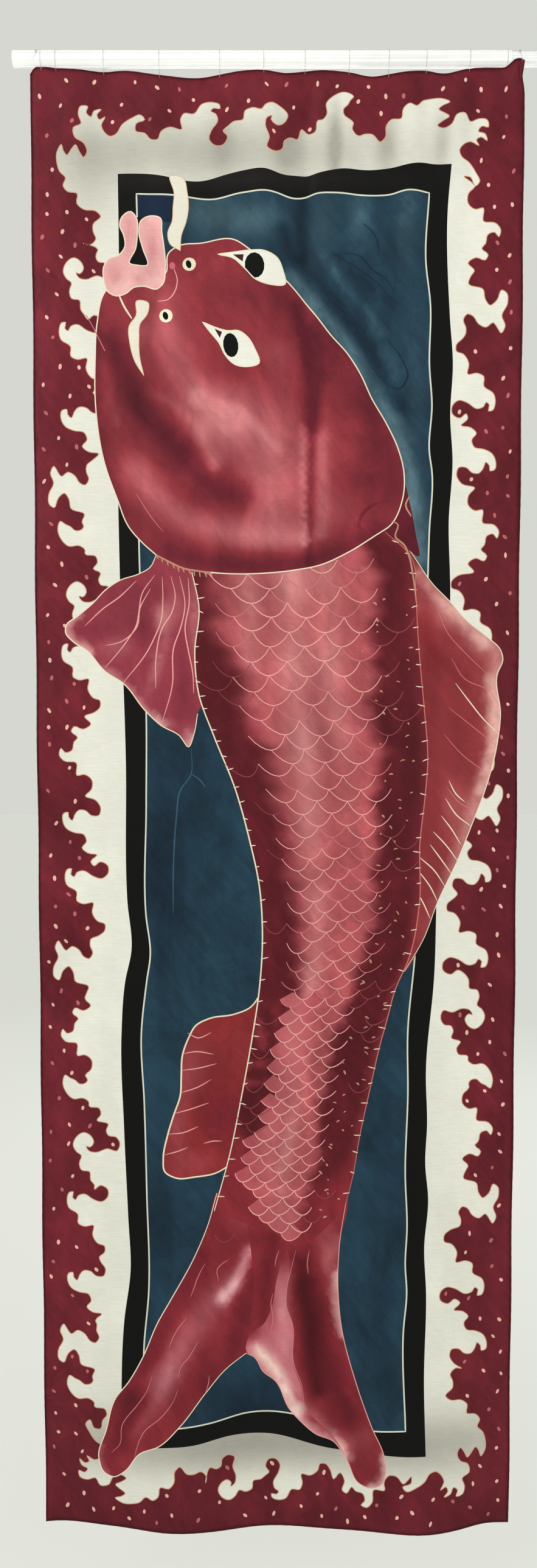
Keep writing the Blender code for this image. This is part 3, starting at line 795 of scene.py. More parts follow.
rays((
    ((-0.138, -2.235), (-0.151, -2.26), (-0.161, -2.288), (-0.166, -2.3)),
    ((-0.173, -2.34), (-0.186, -2.356), (-0.196, -2.372), (-0.208, -2.4)),
    ((-0.151, -2.385), (-0.169, -2.417), (-0.185, -2.437), (-0.19, -2.458)),
    ((-0.24, -2.457), (-0.252, -2.49), (-0.268, -2.514), (-0.3, -2.559), (-0.304, -2.595), (-0.32, -2.612)),
    ((-0.19, -2.48), (-0.2, -2.505), (-0.225, -2.539), (-0.256, -2.567), (-0.272, -2.604), (-0.276, -2.622)),
    ((-0.13, -2.453), (-0.132, -2.47), (-0.138, -2.488)),
    ((-0.092, -2.23), (-0.106, -2.238), (-0.114, -2.246), (-0.112, -2.272)),
    ((0.036, -2.215), (0.028, -2.248), (0.018, -2.296), (0.018, -2.324), (0.03, -2.361), (0.032, -2.437),
     (0.048, -2.482), (0.052, -2.512)),
    ((0.062, -2.215), (0.058, -2.24), (0.06, -2.262)), ((0.004, -2.215), (-0.002, -2.232), (-0.004, -2.248)),
    ((-0.008, -2.3), (-0.012, -2.32), (-0.008, -2.345), (-0.014, -2.385)),
), 0.0017, rose_line)

fill(smooth(SHOULDER, closed=True), plain(CRIMSON_DARK), mottle=0.6)
fill(body, body_dye, mottle=0.7)
line(body_left_edge, 0.0026, cream_line, taper=0.6)
line(body_right_edge, 0.002, plain((190, 110, 104)), taper=0.4)


def scale_net():
    """Each row of scales hangs from the middles of the row above.

    For each scale: its lower edge, its peak, its depth down the sheet, its place as a share of the
    body's width, and how far that is past the first pale scale and short of the last.
    """
    rows = []
    height = SCALES_TOP
    while height > SCALES_BOTTOM:
        (left,), (right,) = body_sides(np.array([height]))
        row = []
        for number in range(SCALE_COLUMNS + 2):
            x = left + (right - left) * SCALE_SHARE * (number + len(rows) % 2 / 2)
            x += chance.uniform(-0.003, 0.003)
            z = height + chance.uniform(-0.002, 0.002)
            row.append(np.array((x, z)))
        rows.append(row)
        height -= ROW_SHARE * SCALE_SHARE * (right - left)
    for number, (row, after) in enumerate(zip(rows, rows[1:])):
        for column in range(SCALE_COLUMNS):
            start, end, bottom = row[column], row[column + 1], after[column + number % 2]
            share = SCALE_SHARE * (column + 0.5 + number % 2 / 2)
            first = np.interp(-bottom[1], BELLY_DEPTHS, BELLY_FIRST)
            last = np.interp(-bottom[1], BELLY_DEPTHS, BELLY_LAST)
            sag = bottom - (start + end) / 2
            shares = np.arange(9) / 8
            points = start + (end - start) * shares[:, None] + sag * (np.sin(pi * shares) ** 0.8)[:, None]
            yield points, (start + end) / 2 - sag, -bottom[1], share, share - first, last - share


def scales():
    """Filled scales where the belly meets the left flank, then the pale edges of them all."""
    net = list(scale_net())
    shallow, deep = FILLED_DEPTHS
    for points, peak, depth, share, after_first, before_last in net:
        if shallow < depth < deep and -0.01 < after_first < 0.22 and before_last > -0.02:
            fill(np.vstack((points, peak)), scale_dye, mottle=0.5)
    for points, peak, depth, share, after_first, before_last in net:
        # how far inside the pale belly: outside it few scales have an edge, well inside most are pink
        inner = min(after_first, before_last)
        if share > 0.93 or inner < -0.02 and chance.random() > 0.15:
            continue
        width = np.interp(depth, (0.93, 1.3, 1.7, 1.9), (0.0021, 0.0016, 0.0016, 0.002))
        if inner > 0.04 and chance.random() > 0.25 or depth > 1.75 and inner > -0.01:
            dye = pink_line
        else:
            dye = rose_line if inner > 0 else faint_line
        line(points, width * chance.uniform(0.75, 1.1), dye, taper=0.7)


def flecks():
    """Short dabs of resist scattered over the dark right flank."""
    for number in range(FLECKS):
        height = -0.96 - 1.05 * (number + chance.random()) / 70
        left, right = (side[0] for side in body_sides(np.array([height])))
        share = chance.uniform(0.74, 0.97)
        x = left + (right - left) * share
        angle = chance.uniform(-1.2, 0.6)
        half = chance.uniform(0.0015, 0.0045)
        points = (
            (x - half * cos(angle), height - half * sin(angle)), (x, height + 0.001),
            (x + half * cos(angle), height + half * sin(angle)),
        )
        line(points, chance.uniform(0.0022, 0.0042), gold_line, taper=0.5)


flecks()
scales()


def ticks(edge, inward, gap, dye):
    """Short strokes into the body from one of its edges, like stitches."""
    travelled = 0.0
    for here, after in zip(edge, edge[1:]):
        travelled += np.linalg.norm(after - here)
        if travelled < gap:
            continue
        travelled = chance.uniform(-0.01, 0.01)
        length = chance.uniform(0.006, 0.013)
        tip = here + (inward * length, chance.uniform(-0.005, 0.004))
        line((here - (inward * 0.002, 0), (here + tip) / 2, tip), 0.002, dye, taper=0.4)


ticks(body_left_edge, 1, 0.03, cream_line)
ticks(body_right_edge, -1, 0.034, cream_line)

head_dye_and_fold_shading = wash(CRIMSON, ROSE, CRIMSON_DARK, (
    (-0.149, -0.603, 0.018, 0.014, 0.65), (-0.116, -0.727, 0.016, 0.02, 0.5),
    (-0.136, -0.66, 0.014, 0.03, 0.25),
    (-0.208, -0.43, 0.035, 0.04, 0.25), (-0.25, -0.5, 0.015, 0.05, 0.2), (-0.03, -0.42, 0.07, 0.03, -0.35),
    (0.02, -0.45, 0.03, 0.04, -0.35), (0.157, -0.753, 0.03, 0.02, -0.4), (0.125, -0.69, 0.03, 0.06, 0.05),
    (-0.13, -0.785, 0.045, 0.018, -0.3), (0.11, -0.81, 0.03, 0.03, 0.2), (-0.075, -0.552, 0.06, 0.022, -0.3),
    (-0.005, -0.53, 0.035, 0.04, 0.25), (0.2, -0.8, 0.03, 0.04, -0.2), (0.06, -0.86, 0.04, 0.012, 0.15),
), (
    (0.07, 0.6, ((-0.09, -0.65), (-0.02, -0.68), (-0.01, -0.74), (-0.015, -0.8))),
    (0.034, 0.45, ((-0.205, -0.49), (-0.18, -0.55), (-0.135, -0.61), (-0.09, -0.65))),
    (0.012, 0.3, ((-0.24, -0.595), (-0.2, -0.612), (-0.155, -0.65), (-0.13, -0.7), (-0.118, -0.735))),
    (0.01, 0.3, ((-0.15, -0.612), (-0.07, -0.628), (-0.02, -0.676), (0.0, -0.7))),
    (0.028, -0.85, ((-0.307, -0.5), (-0.278, -0.58), (-0.236, -0.645), (-0.185, -0.708), (-0.13, -0.752),
                    (-0.07, -0.787))),
    (0.014, -0.35, ((-0.262, -0.61), (-0.235, -0.65), (-0.195, -0.672), (-0.165, -0.7))),
    (0.026, 0.5, ((-0.262, -0.735), (-0.222, -0.79), (-0.17, -0.828), (-0.11, -0.85), (-0.03, -0.864),
                   (0.045, -0.862))),
    (0.01, -0.5, ((-0.335, -0.44), (-0.335, -0.6), (-0.32, -0.72), (-0.29, -0.82))),
    (0.01, 0.25, ((-0.32, -0.47), (-0.316, -0.56), (-0.296, -0.65))),
    # painted shadow of the cloth's fold down the head, then painted highlights beside it
    (0.011, -0.8, ((0.036, -0.439), (0.049, -0.516), (0.062, -0.588), (0.064, -0.66))),
    (0.022, -0.8, ((0.058, -0.48), (0.078, -0.557), (0.072, -0.64))),
    (0.007, -0.6, ((0.064, -0.66), (0.061, -0.78), (0.06, -0.914))),
    (0.012, 0.45, ((0.09, -0.59), (0.084, -0.68), (0.086, -0.8), (0.084, -0.85))),
    (0.007, 0.45, ((0.048, -0.66), (0.048, -0.76), (0.05, -0.87))),
    (0.036, -0.6, ((0.11, -0.5), (0.16, -0.6), (0.195, -0.7), (0.218, -0.77))),
    (0.022, -0.8, ((-0.2, -0.888), (-0.13, -0.906), (-0.04, -0.912), (0.052, -0.909), (0.131, -0.882),
                    (0.19, -0.85))),
))
fill(head, head_dye_and_fold_shading, mottle=0.65)
line(head, 0.0022, cream_line, closed=True)
gill_seam = smooth(GILL_LEFT)
line(gill_seam, 0.0034, gold_line, taper=0.7)
for here in gill_seam[::2]:
    tip = here + (chance.uniform(0.001, 0.006), -chance.uniform(0.007, 0.012))
    line((here, (here + tip) / 2, tip), 0.0028, gold_line, taper=0.4)
draw((
    ((0.244, -0.786), (0.238, -0.8), (0.248, -0.822)),
    ((0.213, -0.831), (0.223, -0.836), (0.219, -0.859), (0.236, -0.875), (0.244, -0.893), (0.253, -0.935),
     (0.259, -0.982)),
), 0.0034, gold_line, taper=0.5, step=0.004)
draw([((-0.352, -0.455), (-0.338, -0.48), (-0.328, -0.5), (-0.318, -0.52))], 0.0016, rose_line)
draw([((-0.262, -0.78), (-0.232, -0.826), (-0.212, -0.85))], 0.0015, rose_line, taper=0.3)
draw([
    ((0.208, -0.792), (0.18, -0.8), (0.158, -0.818), (0.152, -0.84), (0.172, -0.852)),
], 0.007, plain((112, 32, 46)), taper=0.1, mottle=0.9)
draw([
    ((-0.262, -0.61), (-0.24, -0.648), (-0.215, -0.668), (-0.2, -0.69)),
], 0.003, plain(CRIMSON_DARK), taper=0.1, mottle=0.9)

# mouth, barbels, nostrils and eyes
fill(((-0.268, -0.28), (-0.25, -0.28), (-0.238, -0.37), (-0.275, -0.37)), plain(BLACK))
lips = smooth(LIPS, closed=True)
fill(lips, wash(FLESH, (238, 200, 190), FLESH_DARK, (
    (-0.3, -0.385, 0.012, 0.02, -0.5), (-0.23, -0.34, 0.01, 0.04, -0.5), (-0.272, -0.31, 0.008, 0.03, -0.4),
    (-0.285, -0.405, 0.02, 0.01, 0.5), (-0.225, -0.395, 0.015, 0.008, 0.4), (-0.25, -0.39, 0.02, 0.008, -0.3),
)), mottle=0.3)
line(lips, 0.002, cream_line, closed=True)
for barbel in (BARBEL_UPPER, BARBEL_LOWER):
    shape = smooth(barbel, closed=True)
    fill(shape, plain((224, 218, 202)), mottle=0.1)
    line(shape, 0.0013, plain((210, 178, 140)), closed=True)
draw([((-0.292, -0.418), (-0.282, -0.44), (-0.268, -0.462))], 0.0035, cream_line, taper=0.5)
draw([
    ((-0.19, -0.372), (-0.184, -0.392), (-0.188, -0.412), (-0.2, -0.427), (-0.22, -0.431)),
], 0.002, pink_line, taper=0.4)
fill(oval(-0.193, -0.367, 0.0055, 0.0065), plain((196, 96, 110)))
for across, height in ((-0.162, -0.364), (-0.205, -0.457)):
    fill(oval(across, height, 0.0125, 0.012, 0.5), cream_line)
    fill(oval(across - 0.001, height, 0.005, 0.0075, 0.3), plain(BLACK))
for outline, pupil in (
    (EYE_UPPER, (-0.042, -0.367, 0.018, 0.023)), (EYE_LOWER, (-0.086, -0.51, 0.014, 0.022)),
):
    shape = smooth(outline, closed=True)
    fill(shape, plain((228, 226, 216)), mottle=0.1)
    fill(oval(*pupil, 0.15), plain(BLACK), mottle=0.2)
    line(shape, 0.0022, cream_line, closed=True)
for corner in (
    ((-0.082, -0.347), (-0.062, -0.347), (-0.064, -0.36)),
    ((-0.116, -0.48), (-0.102, -0.486), (-0.106, -0.497)),
):
    fill(corner, plain((60, 30, 26)))

# =====================================================================================
# The sheet
# =====================================================================================
top_curve = smooth(sorted(TOP_ENDS + LASHINGS[1:] + SAGS), step=0.004)
bottom_curve = smooth(BOTTOM_EDGE, step=0.01)
TOP_FADE = 0.11               # height over which the scallops of the top edge die out
BOTTOM_FADE = 0.12            # and the waves of the bottom edge
CREASE_REACH = 0.012          # half width of a crease
BROAD_WAVE = 0.46             # from crest to crest, across the sheet
BROAD_DEPTH = 0.009
NARROW_WAVE = 0.21
NARROW_DEPTH = 0.003
SIDE_WAVE = 0.31              # from crest to crest, down its two sides
SIDE_DEPTH = 0.0035
# soft vertical folds: x at the top edge, x at its lower end, lower end, depth, half width
FOLDS = (
    (0.05, 0.075, -1.25, 0.009, 0.013), (0.13, 0.11, -0.6, -0.0085, 0.018),
    (-0.02, -0.04, -0.8, -0.008, 0.02), (0.202, 0.23, -0.5, 0.008, 0.018),
    (-0.105, -0.13, -0.45, 0.007, 0.02), (-0.215, -0.2, -0.5, -0.007, 0.022),
    (0.28, 0.3, -0.6, 0.0085, 0.016), (-0.316, -0.33, -0.5, 0.006, 0.022),
    (0.355, 0.38, -0.9, 0.007, 0.018), (0.325, 0.345, -0.4, -0.006, 0.016),
    (-0.38, -0.385, -0.6, -0.006, 0.02), (0.01, 0.02, -0.5, 0.006, 0.012),
)
# slanting creases in the hanging cloth: x, z, direction in degrees, length, depth
CREASES = (
    (0.36, -0.93, 12, 0.1, 0.0016), (0.365, -1.03, 8, 0.11, -0.0015), (0.35, -1.76, -55, 0.16, 0.0022),
    (0.345, -2.12, -50, 0.14, -0.002), (-0.37, -1.72, 40, 0.12, 0.0018), (-0.36, -1.9, 20, 0.08, -0.0014),
    (0.33, -2.42, -35, 0.12, 0.0018), (-0.1, -2.7, 5, 0.2, -0.002), (0.25, -2.69, -12, 0.18, 0.002),
    (-0.34, -2.45, 60, 0.12, 0.0015), (0.06, -1.6, 75, 0.25, 0.0016), (-0.18, -1.45, 80, 0.3, -0.0018),
)
CORNER_SHIFT = -0.004         # how far the gathered corner is drawn inwards
CORNER_PULL = -0.019          # and forwards
CORNER_REACH = 0.03           # how far in from the corner it is gathered
CORNER_DEPTH = 0.06           # and how far down
PLEAT_HEIGHT = 0.0013
TIE_DEPTH = 0.024             # depth at which the thread ties it in
TIE_REACH = 0.014
# how far each place along the top edge near the right corner is raised: distance from the corner, rise
CORNER_RISE = (
    (0.0, 0.003), (0.006, 0.0066), (0.01, 0.0076), (0.015, 0.0086), (0.02, 0.008), (0.027, 0.0022),
    (0.036, -0.0012), (0.06, 0.0),
)


def relief(x, z, depth):
    """How far each place of the cloth stands behind its plane: folds, creases and waves."""
    out = np.zeros(len(x))
    for top_x, low_x, end, size, half in FOLDS:
        share = np.clip(depth / (SILK_TOP - end), 0, 1)
        middle = top_x + (low_x - top_x) * share + 0.006 * np.sin(z * 9 + top_x * 40)
        fade = (1 - share) ** 1.5 * np.clip(depth / 0.05, 0, 1)
        out += size * fade * np.exp(-((x - middle) / (half * (1 + 0.8 * share))) ** 2)
    for middle_x, middle_z, degrees, length, size in CREASES:
        along = (x - middle_x) * cos(radians(degrees)) + (z - middle_z) * sin(radians(degrees))
        aside = (z - middle_z) * cos(radians(degrees)) - (x - middle_x) * sin(radians(degrees))
        out += size * np.exp(-(along / (length / 2)) ** 2 - (aside / CREASE_REACH) ** 2)
    # broad waves across the sheet that grow downwards, a slow one down it, and restless sides
    low = np.clip((depth - 0.3) / 2.4, 0, 1)
    broad = low**1.5 * BROAD_DEPTH * np.sin(x * 2 * pi / BROAD_WAVE + 0.9)
    narrow = low * NARROW_DEPTH * np.sin(x * 2 * pi / NARROW_WAVE + z * 1.4)
    out += broad + narrow
    out += 0.0015 * np.sin(z * 5.5 + x * 4) * np.clip(depth / 0.3, 0, 1)
    edge = np.clip((np.abs(x) - 0.36) / 0.09, 0, 1) ** 2
    out += edge * SIDE_DEPTH * np.sin(z * 2 * pi / SIDE_WAVE + x * 3) * np.clip(depth / 0.2, 0, 1)
    return out


def hung(x, z):
    """Where a point of the flat sheet hangs: arrays of x, y and z."""
    depth = SILK_TOP - z
    top = np.interp(x, top_curve[:, 0], top_curve[:, 1]) - SILK_TOP
    bottom = np.interp(x, bottom_curve[:, 0], bottom_curve[:, 1]) - SILK_BOTTOM
    height = z + top * np.exp(-depth / TOP_FADE) + bottom * np.exp((SILK_BOTTOM - z) / BOTTOM_FADE)
    # the top right corner, drawn up, forwards and inwards in small pleats
    raised = np.interp(HALF_WIDTH - x, *zip(*CORNER_RISE)) * np.exp(-((depth / CORNER_REACH) ** 2))
    pulled = np.exp(-(((x - HALF_WIDTH) / CORNER_REACH) ** 2 + (depth / CORNER_DEPTH) ** 2))
    pleat = PLEAT_HEIGHT * pulled * np.sin((HALF_WIDTH - x) * 900)
    tied = np.exp(-(((depth - TIE_DEPTH) / TIE_REACH) ** 2))
    notch = 0.004 * ramp(x, HALF_WIDTH - CORNER_REACH, HALF_WIDTH) * tied
    ys = relief(x, z, depth) + CORNER_PULL * pulled + pleat
    return x + CORNER_SHIFT * pulled - notch, ys, height + raised


def inner_points(taken):
    """Points across the sheet in staggered rows, left out where painted edges are already close."""
    cell = WEAVE_CELL * 0.45      # a point stays only if the nine cells round it hold no edge
    full = {(int(x // cell), int(z // cell)) for x, z in taken}
    points = []
    row = 0
    height = SILK_TOP - WEAVE_CELL / 2
    while height > SILK_BOTTOM:
        across = -HALF_WIDTH + WEAVE_CELL * (0.5 if row % 2 else 1.0)
        while across < HALF_WIDTH - 0.003:
            x = across + chance.uniform(-WEAVE_STRAY, WEAVE_STRAY)
            z = height + chance.uniform(-WEAVE_STRAY, WEAVE_STRAY)
            key = (int(x // cell), int(z // cell))
            near = any((key[0] + i, key[1] + j) in full for i in (-1, 0, 1) for j in (-1, 0, 1))
            if not near:
                points.append((x, z))
            across += WEAVE_CELL
        height -= WEAVE_CELL * 0.87   # rows of nearly even triangles
        row += 1
    return points


def triangulate():
    """The flat sheet as triangles that follow every painted edge. Returns points and triangles."""
    points = []
    edges = []
    border = []
    corners = (
        (-HALF_WIDTH, SILK_TOP), (HALF_WIDTH, SILK_TOP), (HALF_WIDTH, SILK_BOTTOM),
        (-HALF_WIDTH, SILK_BOTTOM),
    )
    for start, end in zip(corners, corners[1:] + corners[:1]):
        start, end = np.array(start), np.array(end)
        count = round(np.linalg.norm(end - start) / CURVE_STEP)
        border += [start + (end - start) * number / count for number in range(count)]
    loops = [np.array(border)] + [loop for shape, _, _, edged in painted if edged for loop in shape]
    for loop in loops:
        first = len(points)
        points += [tuple(point) for point in loop]
        count = len(loop)
        edges += [(first + number, first + (number + 1) % count) for number in range(count)]
    points += inner_points(points)
    made = delaunay_2d_cdt([Vector(point) for point in points], edges, [], 0, 1e-6, False)
    return np.array([tuple(point) for point in made[0]]), np.array([tuple(face) for face in made[2]])


def corner_colours(flat, triangles):
    """The dye in linear light at each corner of each triangle, painted fold shade and highlights included,
    and how much it mottles.
    """
    centres = flat[triangles].mean(axis=1)
    order = np.argsort(centres[:, 1])
    x, z = centres[order, 0], centres[order, 1]
    owner = np.zeros(len(triangles), int)
    for number, shape in enumerate(painted):
        owner[order[inside(shape[0], x, z)]] = number
    colour = np.zeros((len(triangles), 3, 4))
    for number, (_, dye, mottle, _) in enumerate(painted):
        chosen = owner == number
        if chosen.any():
            places = flat[triangles[chosen]].reshape(-1, 2)
            colour[chosen, :, :3] = linear(dye(places[:, 0], places[:, 1])).reshape(-1, 3, 3)
            colour[chosen, :, 3] = mottle
    return colour


def silk_sheet(finish):
    """The whole painted sheet as one thin closed shell, dyed right through like silk."""
    flat, triangles = triangulate()
    colour = corner_colours(flat, triangles)
    # all triangles face the front
    a, b, c = (flat[triangles[:, n]] for n in range(3))
    turn = (b[:, 0] - a[:, 0]) * (c[:, 1] - a[:, 1]) - (b[:, 1] - a[:, 1]) * (c[:, 0] - a[:, 0])
    backward = turn < 0
    triangles[backward] = triangles[backward][:, ::-1]
    colour[backward] = colour[backward][:, ::-1]

    count = len(flat)
    xs, ys, zs = hung(flat[:, 0], flat[:, 1])
    front = np.column_stack((xs, ys - SILK_THICKNESS / 2, zs))
    back = np.column_stack((xs, ys + SILK_THICKNESS / 2, zs))
    edge_use = {}
    for face in triangles.tolist():
        for start, end in zip(face, face[1:] + face[:1]):
            edge_use[(start, end)] = True
    rim = [(start, end) for start, end in edge_use if (end, start) not in edge_use]
    rim_faces = [(end, start, start + count, end + count) for start, end in rim]
    faces = triangles.tolist() + (triangles[:, ::-1] + count).tolist() + rim_faces

    mesh = bpy.data.meshes.new("silk_sheet")
    mesh.from_pydata(np.vstack((front, back)).tolist(), [], faces)
    rim_colour = np.tile((*linear(MAROON_DARK), 0.5), (4 * len(rim), 1))
    loops = np.vstack((colour.reshape(-1, 4), colour[:, ::-1].reshape(-1, 4), rim_colour))
    # the dye attribute holds the painted colours, with the painted shade and highlights of some folds
    dyes = mesh.color_attributes.new("dye", "FLOAT_COLOR", "CORNER")
    dyes.data.foreach_set("color", loops.ravel())
    cloth = mesh.attributes.new("cloth", "FLOAT_VECTOR", "POINT")
    lying = np.column_stack((flat[:, 0], np.zeros(count), flat[:, 1]))
    cloth.data.foreach_set("vector", np.vstack((lying, lying)).ravel())
    mesh.materials.append(finish)
    mesh.shade_smooth()
    return add_object("silk_sheet", mesh)


# =====================================================================================
# Materials
# =====================================================================================
class Shader:
    """A Principled material and short calls for the nodes that feed it."""

    def __init__(self, name, roughness, **uniform):
        self.made = bpy.data.materials.new(name)
        self.made.use_nodes = True
        self.tree = self.made.node_tree
        self.main = self.tree.nodes["Principled BSDF"]
        self.main.inputs["Roughness"].default_value = roughness
        for key, value in uniform.items():
            self.main.inputs[key.replace("_", " ")].default_value = value

    def node(self, kind, **settings):
        made = self.tree.nodes.new(kind)
        for key, value in settings.items():
            setattr(made, key, value)
        return made

    def link(self, source, target):
        self.tree.links.new(source, target)

    def feed(self, source, socket):
        """Links a value to one of the material's own sockets."""
        self.link(source, self.main.inputs[socket])

    def place(self, scale, attribute=None, turned=0.0):
        """Coordinates turned about Y and stretched by scale, from the flat cloth or from the object."""
        if attribute:
            source = self.node("ShaderNodeAttribute", attribute_name=attribute).outputs["Vector"]
        else:
            source = self.node("ShaderNodeTexCoord").outputs["Object"]
        mapping = self.node("ShaderNodeMapping", vector_type="TEXTURE")
        mapping.inputs["Scale"].default_value = [1 / size for size in scale]
        mapping.inputs["Rotation"].default_value = (0, turned, 0)
        self.link(source, mapping.inputs["Vector"])
        return mapping.outputs["Vector"]

    def noise(self, vector, detail, rough=0.5, distortion=0.0):
        """Noise of one cell to each unit of the vector."""
        made = self.node("ShaderNodeTexNoise")
        made.inputs["Scale"].default_value = 1.0
        made.inputs["Detail"].default_value = detail
        made.inputs["Roughness"].default_value = rough
        made.inputs["Distortion"].default_value = distortion
        self.link(vector, made.inputs["Vector"])
        return made.outputs["Fac"]

    def maths(self, operation, first, second=0.0):
        made = self.node("ShaderNodeMath", operation=operation)
        for socket, value in zip(made.inputs, (first, second)):
            if isinstance(value, (int, float)):
                socket.default_value = value
            else:
                self.link(value, socket)
        return made.outputs[0]

    def times(self, first, second):
        return self.maths("MULTIPLY", first, second)

    def span(self, value, new_low, new_high, low=0.3, high=0.7):
        """Maps the values from low to high, by default the bulk of a noise, to new_low to new_high."""
        made = self.node("ShaderNodeMapRange")
        for name, number in zip(("From Min", "From Max", "To Min", "To Max"), (low, high, new_low, new_high)):
            made.inputs[name].default_value = number
        self.link(value, made.inputs["Value"])
        return made.outputs["Result"]

    def paint(self, colour, amount):
        """Gives the material a colour, linked or as plain sRGB, times a grey amount."""
        made = self.node("ShaderNodeMix", data_type="RGBA", blend_type="MULTIPLY")
        made.inputs["Factor"].default_value = 1.0
        if isinstance(colour, tuple):
            made.inputs[6].default_value = (*linear(colour), 1.0)
        else:
            self.link(colour, made.inputs[6])
        self.link(amount, made.inputs[7])
        self.feed(made.outputs[2], "Base Color")

    def bump(self, height, strength, distance):
        made = self.node("ShaderNodeBump")
        made.inputs["Strength"].default_value = strength
        made.inputs["Distance"].default_value = distance
        self.link(height, made.inputs["Height"])
        self.feed(made.outputs["Normal"], "Normal")


def silk_finish():
    """Dyed habotai: washes that pool and streak, fine slubs across the weave, a soft sheen."""
    shader = Shader("painted_silk", 0.55, Sheen_Weight=0.03, Sheen_Roughness=0.4, Specular_IOR_Level=0.12)
    # the dye attribute: painted colours, with the painted shade and highlights of some folds
    dye = shader.node("ShaderNodeAttribute", attribute_name="dye")
    pools = shader.noise(shader.place((9, 9, 7), "cloth"), 6, 0.55, 0.8)
    runs = shader.noise(shader.place((26, 26, 5), "cloth"), 4, 0.5, 0.4)
    brush = shader.noise(shader.place((70, 70, 12), "cloth", radians(-38)), 3, 0.5, 0.6)
    slubs = shader.noise(shader.place((28, 28, 620), "cloth"), 2)
    grain = shader.noise(shader.place((900, 900, 900), "cloth"), 1)
    # a dark rim where a pool of dye dried: the noise near its middle value
    tide = shader.maths("ABSOLUTE", shader.maths("SUBTRACT", pools, 0.5))
    tide = shader.span(tide, 0.86, 1.0, low=0.0, high=0.02)
    cloudy = shader.times(shader.span(pools, 0.6, 1.36), shader.span(runs, 0.8, 1.16))
    cloudy = shader.times(cloudy, tide)
    cloudy = shader.times(cloudy, shader.span(brush, 0.86, 1.14))
    # the mottle held in the dye's fourth value says how much of this shows
    away = shader.maths("SUBTRACT", cloudy, 1.0)
    mottled = shader.maths("ADD", shader.times(away, dye.outputs["Alpha"]), 1.0)
    threads = shader.times(shader.span(slubs, 0.95, 1.05), shader.span(grain, 0.97, 1.03))
    shader.paint(dye.outputs["Color"], shader.times(mottled, threads))
    shader.feed(shader.span(slubs, 0.5, 0.66), "Roughness")
    crumple = shader.noise(shader.place((34, 34, 60), "cloth"), 4, 0.6)
    height = shader.maths("ADD", shader.times(crumple, 3.0), shader.times(slubs, 0.35))
    shader.bump(height, 0.5, 0.001)
    return shader.made


def hem_finish(name, colour):
    """Doubled silk: the ground's maroon with a twisted grain."""
    shader = Shader(name, 0.6, Sheen_Weight=0.03, Specular_IOR_Level=0.15)
    cloud = shader.noise(shader.place((10, 10, 10), "cloth"), 4)
    twist = shader.noise(shader.place((300, 300, 300), "cloth"), 2)
    shader.paint(colour, shader.times(shader.span(cloud, 0.75, 1.15), shader.span(twist, 0.85, 1.1)))
    shader.bump(twist, 0.6, 0.0004)
    return shader.made


def thread_finish(name, colour):
    """Twisted cotton thread."""
    shader = Shader(name, 0.7, Sheen_Weight=0.3)
    ply = shader.noise(shader.place((900, 900, 900)), 2)
    shader.paint(colour, shader.span(ply, 0.8, 1.1))
    shader.bump(ply, 0.5, 0.0002)
    return shader.made


def acrylic_glow_finish(name, tint):
    """Clear tube with faint drawn lines along it, dust and fine scratches, and a faint painted glow."""
    # the emission is a painted glow: with the white tint it stands in for the light the tube catches
    shader = Shader(name, 0.16, IOR=1.49, Transmission_Weight=0.5, Emission_Strength=0.15)
    shader.main.inputs["Emission Color"].default_value = (*linear((250, 250, 248)), 1)
    lines = shader.noise(shader.place((1.5, 420, 420)), 2)
    dust = shader.noise(shader.place((60, 60, 60)), 6, 0.7)
    faint_lines = shader.span(lines, 0.74, 1.0, low=0.35, high=0.6)
    shader.paint(tint, shader.times(faint_lines, shader.span(dust, 1.0, 0.94, low=0.35)))
    shader.feed(shader.span(dust, 0.05, 0.22, low=0.35, high=0.75), "Roughness")
    shader.bump(lines, 0.25, 0.0002)
    return shader.made


# =====================================================================================
# Tubes, thread, hems and the gathered corner
# =====================================================================================
def new_object(name, vertices, faces, finish, cloth=None):
    """A smooth mesh object, with its flat-cloth places where it is made of cloth."""
    mesh = bpy.data.meshes.new(name)
    mesh.from_pydata([tuple(vertex) for vertex in vertices], [], faces)
    shape = bmesh.new()
    shape.from_mesh(mesh)
    bmesh.ops.recalc_face_normals(shape, faces=shape.faces)
    shape.to_mesh(mesh)
    shape.free()
    if cloth is not None:
        held = mesh.attributes.new("cloth", "FLOAT_VECTOR", "POINT")
        held.data.foreach_set("vector", np.asarray(cloth, float).ravel())
    mesh.materials.append(finish)
    mesh.shade_smooth()
    return add_object(name, mesh)


def skin(rings, sides, closed=False):
    """Faces that join rings of points in turn: a loop of them if closed, else with two flat ends."""
    faces = []
    for ring in range(rings if closed else rings - 1):
        here = ring * sides
        there = (ring + 1) % rings * sides
        for side in range(sides):
            after = (side + 1) % sides
            faces.append((here + side, here + after, there + after, there + side))
    if not closed:
        last = (rings - 1) * sides
        faces.append(tuple(range(sides))[::-1])
        faces.append(tuple(last + side for side in range(sides)))
    return faces


def around(across, angle, radius):
    """A point beside the tube. The angle runs from its top towards its front."""
    return (across, -radius * sin(angle), radius * cos(angle))


